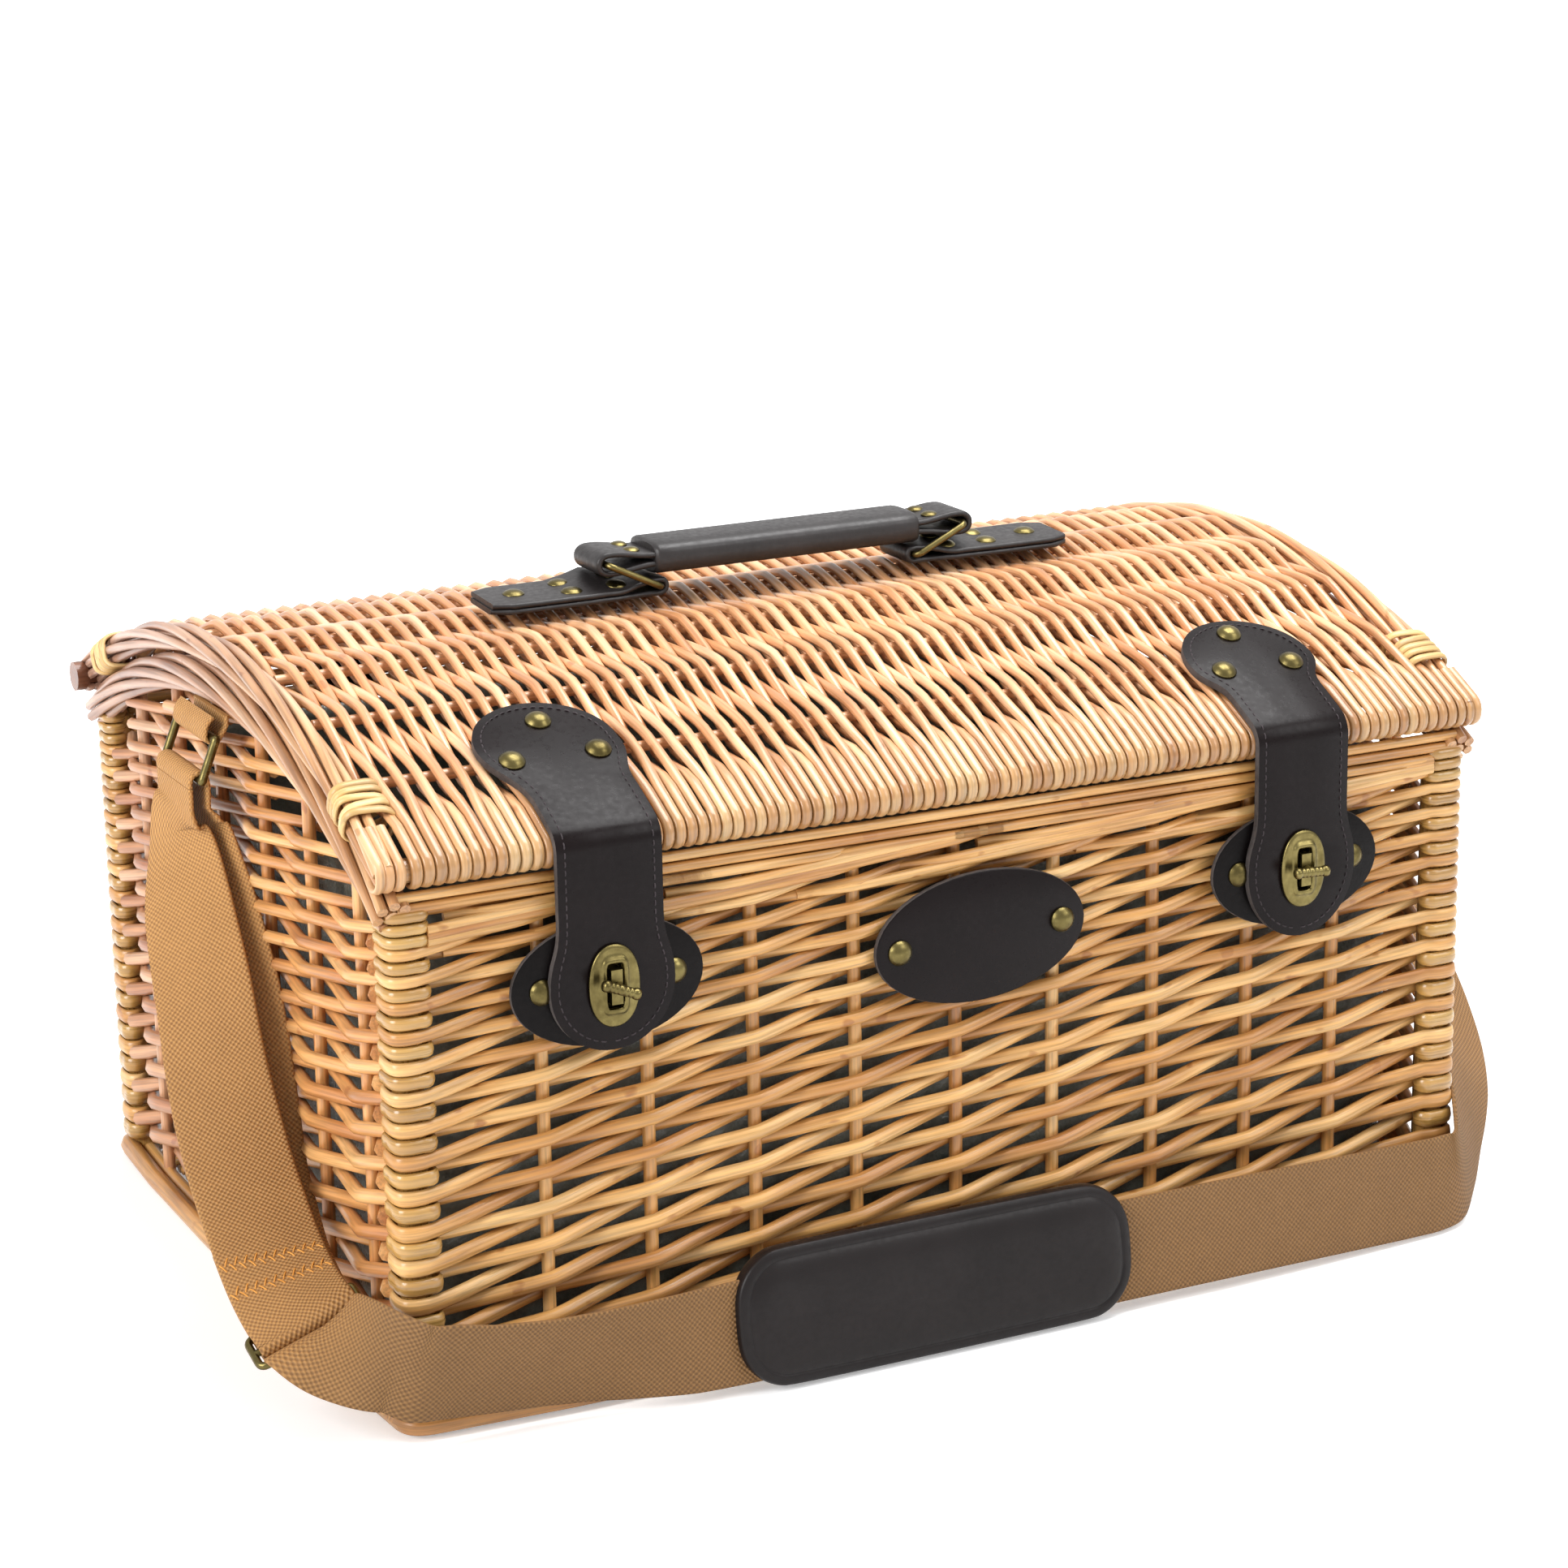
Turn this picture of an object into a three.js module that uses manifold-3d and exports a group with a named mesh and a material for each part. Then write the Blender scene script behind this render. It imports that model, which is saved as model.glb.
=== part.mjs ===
// Wicker picnic basket: a woven body with an arched top, a domed lid hinged at the back, two leather
// lock straps with turn locks, a leather top handle and a webbing shoulder strap.
// Millimetres, +Z up. +X runs along the length, the front faces -Y, and the origin is on the floor
// under the middle of the body.

import * as THREE from 'three';
import { mergeVertices } from 'three/addons/utils/BufferGeometryUtils.js';
import Module from 'manifold-3d';

const wasm = await Module();
wasm.setup();

// Clearances
const GAP = 0.3; // between pieces that touch
const HOOP_GAP = 0.6; // under the lid's end hoops
const LINER_GAP = 3; // liner to the front and back walls

// Body
const BODY_LENGTH = 460;
const BODY_DEPTH = 342;
const WALL_HEIGHT = 196;
const WALL_THICKNESS = 9;
const POST_SIZE = 20;
const POST_ROUNDING = 7;
const BASE_THICKNESS = 8;
const RIM_HEIGHT = 10.4;
const RIM_DEPTH = 10;
const BORDER_HEIGHT = 16;
const BORDER_THICKNESS = 15;
const BORDER_PROUD = 4;
const LINER_END_GAP = 21; // liner to the end walls, clear of the posts
const LINER_WALL = 3;
const LINER_BELOW_RIM = 4;

// Weave of the walls: each rod climbs a level from stake to stake and passes in front of every other one
const LONG_STAKES = { count: 9, fromCorner: 59 };
const END_STAKES = { count: 6, fromCorner: 46 };
const WEAVE_LEVELS = 29; // up to the top of the long walls
const WEAVE_FOOT = 5; // lowest level
const WEAVE_TOP = 8; // from the highest level to the rim
const LEVEL_SPREAD = 0.268; // the lowest levels lie that share further apart than the mean
const WEAVE_RELIEF = 4.6; // from a stake's face to the rods in front of it

// Lid
const LID_ROD_PITCH = 3.85;
const LID_STICKS = { count: 7, pitch: 42 };
const LID_RELIEF = 4; // from a stick's top to the rods over it
const LID_ROD_ROOM = 0.15; // from the rods' tops to the lid's outer arc
const LID_EDGE_BAND = 22; // from each edge, where the rods lie tight
const LID_OVERHANG = 4;
const LID_THICKNESS = 8;
const LID_CROWN = 50; // crest above the middle of the rails
const RAIL_DIAMETER = 14;
const HOOP_WIDTH = 11;
const HOOP_HEIGHT = 12;

// Hinge loops at the back
const HINGE_INSET = 110; // from the body's end to the middle of a loop
const HINGE_WIDTH = 24;
const HINGE_LEATHER = 2.2;
const HINGE_TAIL = 34; // down the back wall, from the middle of the rail
const HINGE_TUCK = 17; // down inside the rim
const HINGE_SIDE_ROOM = 0.8;
const HINGE_NOTCH = 10.4; // forward of the middle of the rail

// Lock straps
const LOCK_INSET = 83; // from the body's end to the middle of a strap
const LOCK_HEIGHT = 163;
const STRAP_LEATHER = 3;
const STRAP_WIDTH = 41;
const STRAP_HEAD_WIDTH = 55;
const STRAP_HEAD_REACH = 68; // back from the lid's front edge, in plan
const STRAP_NECK_REACH = 26; // where the head starts to widen
const STRAP_END_WIDTH = 49;
const STRAP_SLOT = { width: 9, height: 20 };
const HASP = { width: 20, height: 31, thickness: 1.8, slotWidth: 6.5, slotHeight: 17 };
const PATCH = { tip: 8, height: 48, thickness: 2.4, rivetRoom: 0.5 }; // tip: past a rivet's middle
const LOCK_PLATE = { width: 16, height: 27, thickness: 1 };
const LOCK_NECK = { width: 4.4, height: 13, proud: 1.2 };
const TURN_BAR = {
  length: 16,
  diameter: 4.6, // of the end beads
  middle: 3.9, // of the middle bead
  waist: 3.2,
  beadAt: 6.4, // from the middle of the bar
  waistAt: 4,
  shankDiameter: 4,
  shankLength: 1,
};
const LEFT_BAR_TURN = 22; // degrees, right end down
const RIGHT_BAR_TURN = 3;
const RIVET = { diameter: 10, edge: 0.7, dome: 3.2 };
const HEAD_RIVETS = [
  { across: 0, reach: 58 },
  { across: -18, reach: 37 },
  { across: 18, reach: 37 },
];

// Bare badge on the front
const BADGE = { width: 90, height: 51, thickness: 2.6, rivetInset: 10, x: 6.5, up: 156, tilt: 2 };

// Top handle
const HANDLE_X = 4;
const HANDLE_Y = -10;
const HANDLE_WIDTH = 24;
const HANDLE_LEATHER = 2.6;
const HANDLE_END_HOLLOW = { length: 16, height: 5, room: 0.6 };
const HANDLE_END_FLAT = 22; // length of each folded end
const HANDLE_CORE = 6;
const SLEEVE = { length: 118, width: 28, height: 13, rounding: 5.5 };
const SLEEVE_ROOM = 0.4;
const TAB = { length: 72, width: 24, leather: 2.2, flat: 4.6, taper: 16, shoulder: 70 };
const TAB_FOLD_SPACING = 114;
const RING_WIRE = 2.8;
const RING_ROOM = 0.35; // round a wire in its fold
const RING_SIDE_ROOM = 0.75; // between a ring's sides and the leather
const RING_REACH = 25; // from bar to bar
const RING_LEAN = 25.6; // degrees above level

// Shoulder strap
const WEBBING = { width: 40, thickness: 2 };
const STRAP_RING_WIRE = 3.5;
const STRAP_RING_WIDTH = 46;
const STRAP_RING_Y = 8;
const STRAP_RING_TOP = { out: 6.5, up: 229 }; // upper bar, out from the end wall
const STRAP_RING_FOOT = { out: 13.5, up: 211.5 }; // lower bar
const WRAP_ROOM = 0.7; // webbing round a ring's lower bar
const STRAIGHT_DROP = 9; // webbing straight down from a ring before it turns
const LAYER_GAP = 4.6; // from layer to layer of the doubled webbing at the slider
const LAYER_SAG = 6.4; // more than that half way up
const SLIDER = { length: 46, width: 18, thickness: 3, bar: 3.4, room: 0.7 };
const PAD = { x: -20, length: 160, width: 45.5, thickness: 12, edge: 6.4, rounding: 16 };
const PAD_ROOM = 0.6;

// Route of the strap tail below the left ring, down to the slider: a point on the middle of the
// webbing, then the direction across it
const TAIL_ROUTE = [
  [-247, 8, 188, -0.25, 0.93, -0.27],
  [-251, -12, 163, -0.57, 0.82, -0.07],
  [-253.5, -33, 136, -0.75, 0.65, -0.08],
  [-254.5, -48, 106, -0.85, 0.5, -0.15],
  [-255, -68, 80, -0.93, 0.35, -0.05],
  [-256, -97, 58.5, -0.95, 0.25, -0.1],
  [-257, -115, 49, -0.94, 0.15, -0.28],
  [-258, -132, 43, -0.92, 0.1, -0.38],
];

// Straight stretch of the strap along the front: its y and z, then the direction across it
const STRAIGHT = [-188.5, 23.6, 0, -0.15, -0.989];

// Route of the strap from the slider, along the front and up the right end; the slider lies over
// the first two points
const FRONT_ROUTE = [
  [-256.4, -144.6, 35.7, -0.92, 0.1, -0.38],
  [-255.4, -160, 31.9, -0.88, 0.14, -0.45],
  [-247, -173, 32.4, -0.6, 0.22, -0.77],
  [-235.5, -181, 32, -0.36, 0.2, -0.91],
  [-219, -185.6, 28.9, -0.15, 0.19, -0.97],
  [-197, -186, 25.6, 0.05, 0.2, -0.975],
  [-174, -187.2, 24.3, 0.03, 0.08, -0.995],
  [-145, ...STRAIGHT],
  [-122, ...STRAIGHT],
  [-20, ...STRAIGHT],
  [82, ...STRAIGHT],
  [105, ...STRAIGHT],
  [150, -187, 22.6, 0, -0.12, -0.993],
  [200, -184, 21, 0, -0.1, -0.995],
  [221, -182.5, 20.8, 0.02, -0.08, -0.996],
  [234, -178.5, 24.5, 0.15, 0.02, -0.985],
  [243, -168.5, 37, 0.36, 0.06, -0.93],
  [250, -154, 52, 0.62, 0.1, -0.78],
  [255, -138, 65, 0.8, 0.15, -0.58],
  [257, -119, 79, 0.91, 0.22, -0.35],
  [257, -96, 97, 0.95, 0.3, -0.12],
  [256, -72, 118, 0.9, 0.43, -0.05],
  [254.5, -51, 138, 0.8, 0.6, -0.05],
  [252, -31, 159, 0.65, 0.75, -0.08],
  [248, -10, 182, 0.35, 0.92, -0.15],
  [247, 8, 200, 0, 1, 0],
];
const STEPS_PER_STRETCH = 3;

// Worked out from the driving dimensions
const HALF_LENGTH = BODY_LENGTH / 2;
const HALF_DEPTH = BODY_DEPTH / 2;
const RAIL_RADIUS = RAIL_DIAMETER / 2;
const RAIL_Y = HALF_DEPTH + LID_OVERHANG - RAIL_RADIUS;
const RAIL_Z = WALL_HEIGHT + GAP + RIM_HEIGHT + GAP + RAIL_RADIUS;
const LID_LENGTH = BODY_LENGTH + 2 * LID_OVERHANG;
// The lid's outer arc touches the outside of both rails
const LID_RADIUS = (RAIL_Y ** 2 + LID_CROWN ** 2 - RAIL_RADIUS ** 2) / (2 * (LID_CROWN - RAIL_RADIUS));
const ARC_Z = RAIL_Z + LID_CROWN - LID_RADIUS;
const EDGE_ANGLE = Math.asin(RAIL_Y / (LID_RADIUS - RAIL_RADIUS));
const LID_TOP = RAIL_Z + LID_CROWN;
const BORDER_RADIUS = LID_RADIUS - HOOP_HEIGHT - HOOP_GAP;
const BORDER_INSIDE = HALF_LENGTH + BORDER_PROUD - BORDER_THICKNESS;
const LOCK_X = HALF_LENGTH - LOCK_INSET;
const HINGE_X = HALF_LENGTH - HINGE_INSET;
// The patch rivets stand just beside the strap's round end
const PATCH_RIVET_X = STRAP_END_WIDTH / 2 + PATCH.rivetRoom + RIVET.diameter / 2;
const STRAP_BACK = -(HALF_DEPTH + LID_OVERHANG + GAP); // inner face of a hanging strap
const STRAP_FACE = STRAP_BACK - STRAP_LEATHER;
const HASP_FACE = STRAP_FACE - GAP - HASP.thickness;
const NECK_FACE = HASP_FACE - LOCK_NECK.proud;

const X_AXIS = new THREE.Vector3(1, 0, 0);
const Y_AXIS = new THREE.Vector3(0, 1, 0);
const Z_AXIS = new THREE.Vector3(0, 0, 1);
const BACKWARD = new THREE.Vector3(0, -1, 0);

// Materials
function finish(color, roughness, metalness) {
  return new THREE.MeshStandardMaterial({ color, roughness, metalness });
}

const WILLOW = finish(0xc08a4a, 0.45, 0);
const LEATHER = finish(0x2c2523, 0.42, 0);
const BRASS = finish(0x8a7436, 0.35, 0.9);
const CANVAS = finish(0xa67a45, 0.85, 0);
const LINING = finish(0x4a4c4b, 0.7, 0);

// Solids for joining and cutting
function solidOf(geometry) {
  const bare = geometry.index ? geometry.toNonIndexed() : geometry.clone();
  bare.deleteAttribute('normal');
  bare.deleteAttribute('uv');
  const merged = mergeVertices(bare, 1e-4);
  return new wasm.Manifold(
    new wasm.Mesh({
      numProp: 3,
      vertProperties: new Float32Array(merged.attributes.position.array),
      triVerts: new Uint32Array(merged.index.array),
    }),
  );
}

function geometryOf(solid) {
  const mesh = solid.getMesh();
  const geometry = new THREE.BufferGeometry();
  geometry.setAttribute('position', new THREE.BufferAttribute(new Float32Array(mesh.vertProperties), 3));
  geometry.setIndex(new THREE.BufferAttribute(new Uint32Array(mesh.triVerts), 1));
  return geometry;
}

// Outlines
function rectangle(left, low, right, high) {
  const shape = new THREE.Shape();
  shape.moveTo(left, low);
  shape.lineTo(right, low);
  shape.lineTo(right, high);
  shape.lineTo(left, high);
  shape.closePath();
  return shape;
}

function roundedRectangle(width, height, radius) {
  const x = width / 2 - radius;
  const y = height / 2 - radius;
  const shape = new THREE.Shape();
  shape.absarc(x, y, radius, 0, Math.PI / 2, false);
  shape.absarc(-x, y, radius, Math.PI / 2, Math.PI, false);
  shape.absarc(-x, -y, radius, Math.PI, 1.5 * Math.PI, false);
  shape.absarc(x, -y, radius, 1.5 * Math.PI, 2 * Math.PI, false);
  shape.closePath();
  return shape;
}

function disc(x, y, radius) {
  return new THREE.Shape().absarc(x, y, radius, 0, 2 * Math.PI, false);
}

function oval(width, height) {
  return new THREE.Shape().absellipse(0, 0, width / 2, height / 2, 0, 2 * Math.PI, false, 0);
}

// A band of the lid's arc in the YZ plane, between two radii and two angles from the crest
function archBand(inner, outer, from, to) {
  const shape = new THREE.Shape();
  shape.absarc(0, ARC_Z, outer, Math.PI / 2 - to, Math.PI / 2 - from, false);
  shape.absarc(0, ARC_Z, inner, Math.PI / 2 - from, Math.PI / 2 - to, true);
  shape.closePath();
  return shape;
}

// Extrusions: a YZ outline along X, an XZ outline towards the front, an XY outline upwards
function alongX(shape, start, end, curveSegments = 10) {
  const settings = { depth: end - start, bevelEnabled: false, curveSegments };
  const geometry = new THREE.ExtrudeGeometry(shape, settings);
  geometry.applyMatrix4(new THREE.Matrix4().makeBasis(Y_AXIS, Z_AXIS, X_AXIS));
  return geometry.translate(start, 0, 0);
}

function forwards(shape, start, depth, curveSegments = 10) {
  const settings = { depth, bevelEnabled: false, curveSegments };
  const geometry = new THREE.ExtrudeGeometry(shape, settings);
  geometry.applyMatrix4(new THREE.Matrix4().makeBasis(X_AXIS, Z_AXIS, BACKWARD));
  return geometry.translate(0, start, 0);
}

function upwards(shape, start, end, curveSegments = 10) {
  const settings = { depth: end - start, bevelEnabled: false, curveSegments };
  const geometry = new THREE.ExtrudeGeometry(shape, settings);
  return geometry.translate(0, 0, start);
}

function box(left, front, low, right, back, high) {
  return upwards(rectangle(left, front, right, back), low, high);
}

// Sections of a ribbon along stations, each station a point and the direction across the ribbon there
function sectionsOf(stations) {
  const middle = new THREE.CatmullRomCurve3(stations.map((station) => station.at), false, 'centripetal');
  const sideways = new THREE.CatmullRomCurve3(stations.map((station) => station.across), false, 'catmullrom');
  const steps = (stations.length - 1) * STEPS_PER_STRETCH;
  const sections = [];
  for (let step = 0; step <= steps; step += 1) {
    const t = step / steps;
    const along = middle.getTangent(t);
    const normal = along.clone().cross(sideways.getPoint(t)).normalize();
    const across = normal.clone().cross(along).normalize();
    sections.push({ at: middle.getPoint(t), along, across, normal });
  }
  return sections;
}

// A flat ribbon through its sections
function ribbon(sections, width, thickness) {
  const positions = [];
  for (const { at, across, normal } of sections) {
    for (const [side, face] of [[1, 1], [-1, 1], [-1, -1], [1, -1]]) {
      const corner = at.clone();
      corner.addScaledVector(across, (side * width) / 2);
      corner.addScaledVector(normal, (face * thickness) / 2);
      positions.push(corner.x, corner.y, corner.z);
    }
  }
  const index = [0, 2, 1, 0, 3, 2];
  for (let step = 0; step < sections.length - 1; step += 1) {
    for (let side = 0; side < 4; side += 1) {
      const a = step * 4 + side;
      const b = step * 4 + ((side + 1) % 4);
      // Both faces are split along the same diagonal, so that a twisted ribbon keeps its thickness
      if (side === 2) {
        index.push(a, b, a + 4, b, b + 4, a + 4);
      } else {
        index.push(a, b, b + 4, a, b + 4, a + 4);
      }
    }
  }
  const last = (sections.length - 1) * 4;
  index.push(last, last + 1, last + 2, last, last + 2, last + 3);
  const geometry = new THREE.BufferGeometry();
  geometry.setAttribute('position', new THREE.Float32BufferAttribute(positions, 3));
  geometry.setIndex(index);
  return geometry;
}

// A rectangular ring of round wire in the XY plane, its middle at the origin
function wireRing(width, height, wire) {
  const radius = wire;
  const sides = 8;
  const bendSteps = 3;
  const x = (width - wire) / 2 - radius;
  const y = (height - wire) / 2 - radius;
  const positions = [];
  const corners = [[x, y], [-x, y], [-x, -y], [x, -y]];
  corners.forEach(([cx, cy], corner) => {
    for (let bend = 0; bend <= bendSteps; bend += 1) {
      const turn = ((corner + bend / bendSteps) * Math.PI) / 2;
      const out = new THREE.Vector3(Math.cos(turn), Math.sin(turn), 0);
      for (let side = 0; side < sides; side += 1) {
        const around = (side * 2 * Math.PI) / sides;
        const reach = radius + (wire / 2) * Math.cos(around);
        positions.push(cx + out.x * reach, cy + out.y * reach, (wire / 2) * Math.sin(around));
      }
    }
  });
  const rings = positions.length / 3 / sides;
  const index = [];
  for (let ring = 0; ring < rings; ring += 1) {
    for (let side = 0; side < sides; side += 1) {
      const a = ring * sides + side;
      const b = ring * sides + ((side + 1) % sides);
      const c = ((ring + 1) % rings) * sides + side;
      const d = ((ring + 1) % rings) * sides + ((side + 1) % sides);
      index.push(a, c, d, a, d, b);
    }
  }
  const geometry = new THREE.BufferGeometry();
  geometry.setAttribute('position', new THREE.Float32BufferAttribute(positions, 3));
  geometry.setIndex(index);
  return geometry;
}

// A closed slab with a woven face: raised(column, row) tells where a rod passes in front, and
// at(column, row, behind) gives its points, on the face or behind it
function wovenSlab(wide, high, raised, at) {
  const positions = [];
  for (const behind of [false, true]) {
    for (let row = 0; row < high; row += 1) {
      for (let column = 0; column < wide; column += 1) {
        positions.push(...at(column, row, behind));
      }
    }
  }
  const back = wide * high;
  const top = back - wide;
  const index = [];
  const quad = (a, b, c, d) => index.push(a, b, c, a, c, d);
  for (let row = 0; row < high - 1; row += 1) {
    const left = row * wide;
    const right = left + wide - 1;
    for (let a = left; a < right; a += 1) {
      // Split from hollow to hollow, so that each bump stands alone
      if (raised(a - left, row)) {
        quad(a + 1, a + wide + 1, a + wide, a);
      } else {
        quad(a, a + 1, a + wide + 1, a + wide);
      }
      quad(back + a, back + a + wide, back + a + wide + 1, back + a + 1);
    }
    quad(left, left + wide, back + left + wide, back + left);
    quad(right, back + right, back + right + wide, right + wide);
  }
  for (let a = 0; a < wide - 1; a += 1) {
    quad(a, back + a, back + a + 1, a + 1);
    quad(top + a, top + a + 1, back + top + a + 1, back + top + a);
  }
  const geometry = new THREE.BufferGeometry();
  geometry.setAttribute('position', new THREE.Float32BufferAttribute(positions, 3));
  geometry.setIndex(index);
  return solidOf(geometry);
}

// Height of a level of rods
function levelHeight(level) {
  const share = Math.min(level / WEAVE_LEVELS, 1);
  const past = Math.max(level / WEAVE_LEVELS - 1, 0);
  const rise = WALL_HEIGHT - WEAVE_FOOT - WEAVE_TOP;
  return WEAVE_FOOT + rise * (share + LEVEL_SPREAD * share * (1 - share) + past * (1 - LEVEL_SPREAD));
}

// Weave of a wall up to a height; at(along, up, lift) gives a point, lift 0 on the front of the rods
function wallWeave(halfLength, stakes, height, at) {
  const reach = halfLength - stakes.fromCorner;
  const supports = [-halfLength];
  for (let stake = 0; stake < stakes.count; stake += 1) {
    supports.push((stake * 2 * reach) / (stakes.count - 1) - reach);
  }
  supports.push(halfLength);
  let levels = WEAVE_LEVELS;
  while (levelHeight(levels) < height) {
    levels += 1;
  }
  const levelAt = (column, row) => row - supports.length + column;
  const raised = (column, row) => levelAt(column, row) % 2 === 0;
  return wovenSlab(supports.length, levels + supports.length + 1, raised, (column, row, behind) => {
    const lift = raised(column, row) ? 0 : -WEAVE_RELIEF;
    return at(supports[column], levelHeight(levelAt(column, row)), behind ? -2 * WALL_THICKNESS : lift);
  });
}

// Scene graph
const basket = new THREE.Group();

function add(name, geometry, material, parent = basket) {
  const mesh = new THREE.Mesh(geometry, material);
  mesh.name = name;
  parent.add(mesh);
  return mesh;
}

function place(x, y, z, parent = basket) {
  const group = new THREE.Group();
  group.position.set(x, y, z);
  parent.add(group);
  return group;
}

const SIDES = [
  { name: 'left', sign: -1 },
  { name: 'right', sign: 1 },
];

// Woven base, notched at the corners for the posts
function makeBase() {
  const x = HALF_LENGTH - WALL_THICKNESS - GAP;
  const y = HALF_DEPTH - WALL_THICKNESS - GAP;
  const notchX = HALF_LENGTH - POST_SIZE - GAP;
  const notchY = HALF_DEPTH - POST_SIZE - GAP;
  const quarter = [[x, notchY], [notchX, notchY], [notchX, y]];
  const outline = [
    ...quarter,
    ...quarter.map(([px, py]) => [-px, py]).reverse(),
    ...quarter.map(([px, py]) => [-px, -py]),
    ...quarter.map(([px, py]) => [px, -py]).reverse(),
  ];
  const shape = new THREE.Shape(outline.map(([px, py]) => new THREE.Vector2(px, py)));
  add('base_panel', upwards(shape, 0, BASE_THICKNESS), WILLOW);
}

// Corner posts, as thick as the weavers wrapped round them, rounded on the outer corner
function makePosts() {
  for (const { name, sign } of SIDES) {
    for (const [place_name, ySign] of [['front', -1], ['back', 1]]) {
      const outX = sign * HALF_LENGTH;
      const outY = ySign * HALF_DEPTH;
      const shape = new THREE.Shape();
      shape.moveTo(outX - sign * POST_SIZE, outY - ySign * POST_SIZE);
      shape.lineTo(outX, outY - ySign * POST_SIZE);
      shape.lineTo(outX, outY - ySign * POST_ROUNDING);
      shape.quadraticCurveTo(outX, outY, outX - sign * POST_ROUNDING, outY);
      shape.lineTo(outX - sign * POST_SIZE, outY);
      shape.closePath();
      add(`${place_name}_${name}_post`, upwards(shape, 0, WALL_HEIGHT, 5), WILLOW);
    }
  }
}

// Front and back walls between the posts, each with its rim of two rods on top
function makeLongWalls() {
  const wallEnd = HALF_LENGTH - POST_SIZE - GAP;
  const rimEnd = BORDER_INSIDE - GAP;
  const rimLow = WALL_HEIGHT + GAP;
  for (const [name, ySign] of [['front', -1], ['back', 1]]) {
    const outside = ySign * HALF_DEPTH;
    const inside = outside - ySign * WALL_THICKNESS;
    const wall = box(-wallEnd, Math.min(inside, outside), 0, wallEnd, Math.max(inside, outside), WALL_HEIGHT);
    const at = (along, up, lift) => [-ySign * along, outside + ySign * lift, up];
    const weave = wallWeave(HALF_LENGTH, LONG_STAKES, WALL_HEIGHT, at);
    add(`${name}_wall`, geometryOf(solidOf(wall).intersect(weave)), WILLOW);
    const rimMiddle = ySign * (HALF_DEPTH - RIM_DEPTH / 2);
    const rim = roundedRectangle(RIM_DEPTH, RIM_HEIGHT, RIM_HEIGHT / 4);
    const bar = alongX(rim, -rimEnd, rimEnd, 3).translate(0, rimMiddle, rimLow + RIM_HEIGHT / 2);
    add(`${name}_rim`, bar, WILLOW);
  }
}

function railSolid(y, radius) {
  const reach = LID_LENGTH / 2;
  return solidOf(alongX(disc(y, RAIL_Z, radius), -reach, reach, 20));
}

// End walls: woven panels that rise over the posts to an arch, with a thick plaited border
function makeEndWalls() {
  const low = HALF_DEPTH - POST_SIZE - GAP;
  const shoulder = WALL_HEIGHT + GAP;
  const archAngle = Math.asin(HALF_DEPTH / BORDER_RADIUS);
  const panel = new THREE.Shape();
  panel.moveTo(-low, 0);
  panel.lineTo(low, 0);
  panel.lineTo(low, shoulder);
  panel.lineTo(HALF_DEPTH, shoulder);
  panel.absarc(0, ARC_Z, BORDER_RADIUS, Math.PI / 2 - archAngle, Math.PI / 2 + archAngle, false);
  panel.lineTo(-HALF_DEPTH, shoulder);
  panel.lineTo(-low, shoulder);
  panel.closePath();
  const border = archBand(BORDER_RADIUS - BORDER_HEIGHT, BORDER_RADIUS, -archAngle, archAngle);
  for (const { name, sign } of SIDES) {
    const face = sign * HALF_LENGTH;
    const back = face - sign * WALL_THICKNESS;
    const proud = sign * (HALF_LENGTH + BORDER_PROUD);
    const inside = sign * BORDER_INSIDE;
    const at = (along, up, lift) => [face + sign * lift, sign * along, up];
    const weave = wallWeave(HALF_DEPTH, END_STAKES, ARC_Z + BORDER_RADIUS, at);
    let wall = solidOf(alongX(panel, Math.min(face, back), Math.max(face, back), 20)).intersect(weave);
    wall = wall.add(solidOf(alongX(border, Math.min(proud, inside), Math.max(proud, inside), 20)));
    for (const ySign of [-1, 1]) {
      const cornerX = sign * (HALF_LENGTH + 2 * BORDER_PROUD);
      const innerX = sign * (HALF_LENGTH - POST_SIZE - GAP);
      const cornerY = ySign * (HALF_DEPTH + BORDER_HEIGHT);
      const innerY = ySign * low;
      const corner = box(
        Math.min(cornerX, innerX), Math.min(cornerY, innerY), -GAP,
        Math.max(cornerX, innerX), Math.max(cornerY, innerY), shoulder,
      );
      wall = wall.subtract(solidOf(corner)).subtract(railSolid(ySign * RAIL_Y, RAIL_RADIUS + GAP));
    }
    add(`${name}_end_wall`, geometryOf(wall), WILLOW);
  }
}

// Open-topped fabric liner standing on the base
function makeLiner() {
  const x = HALF_LENGTH - WALL_THICKNESS - LINER_END_GAP;
  const y = HALF_DEPTH - WALL_THICKNESS - LINER_GAP;
  const low = BASE_THICKNESS + GAP;
  const high = WALL_HEIGHT - LINER_BELOW_RIM;
  const outside = solidOf(box(-x, -y, low, x, y, high));
  const w = LINER_WALL;
  const inside = solidOf(box(w - x, w - y, low + w, x - w, y - w, high + w));
  add('liner', geometryOf(outside.subtract(inside)), LINING);
}

// A domed rivet standing on the XY plane
function rivetGeometry() {
  const radius = RIVET.diameter / 2;
  const profile = [[0, 0], [radius, 0], [radius, RIVET.edge]];
  const domeSteps = 3;
  for (let step = 1; step < domeSteps; step += 1) {
    const angle = (step / domeSteps) * (Math.PI / 2);
    const rise = RIVET.edge + (RIVET.dome - RIVET.edge) * Math.sin(angle);
    profile.push([radius * Math.cos(angle), rise]);
  }
  profile.push([0, RIVET.dome]);
  const points = profile.map(([reach, rise]) => new THREE.Vector2(reach, rise));
  return new THREE.LatheGeometry(points, 12).rotateX(Math.PI / 2);
}

// Rivet on an upright front face, pointing to -Y
function addFrontRivet(name, x, faceY, z) {
  const group = place(x, faceY - GAP, z);
  group.rotation.x = Math.PI / 2;
  add(name, rivetGeometry(), BRASS, group);
}

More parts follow.
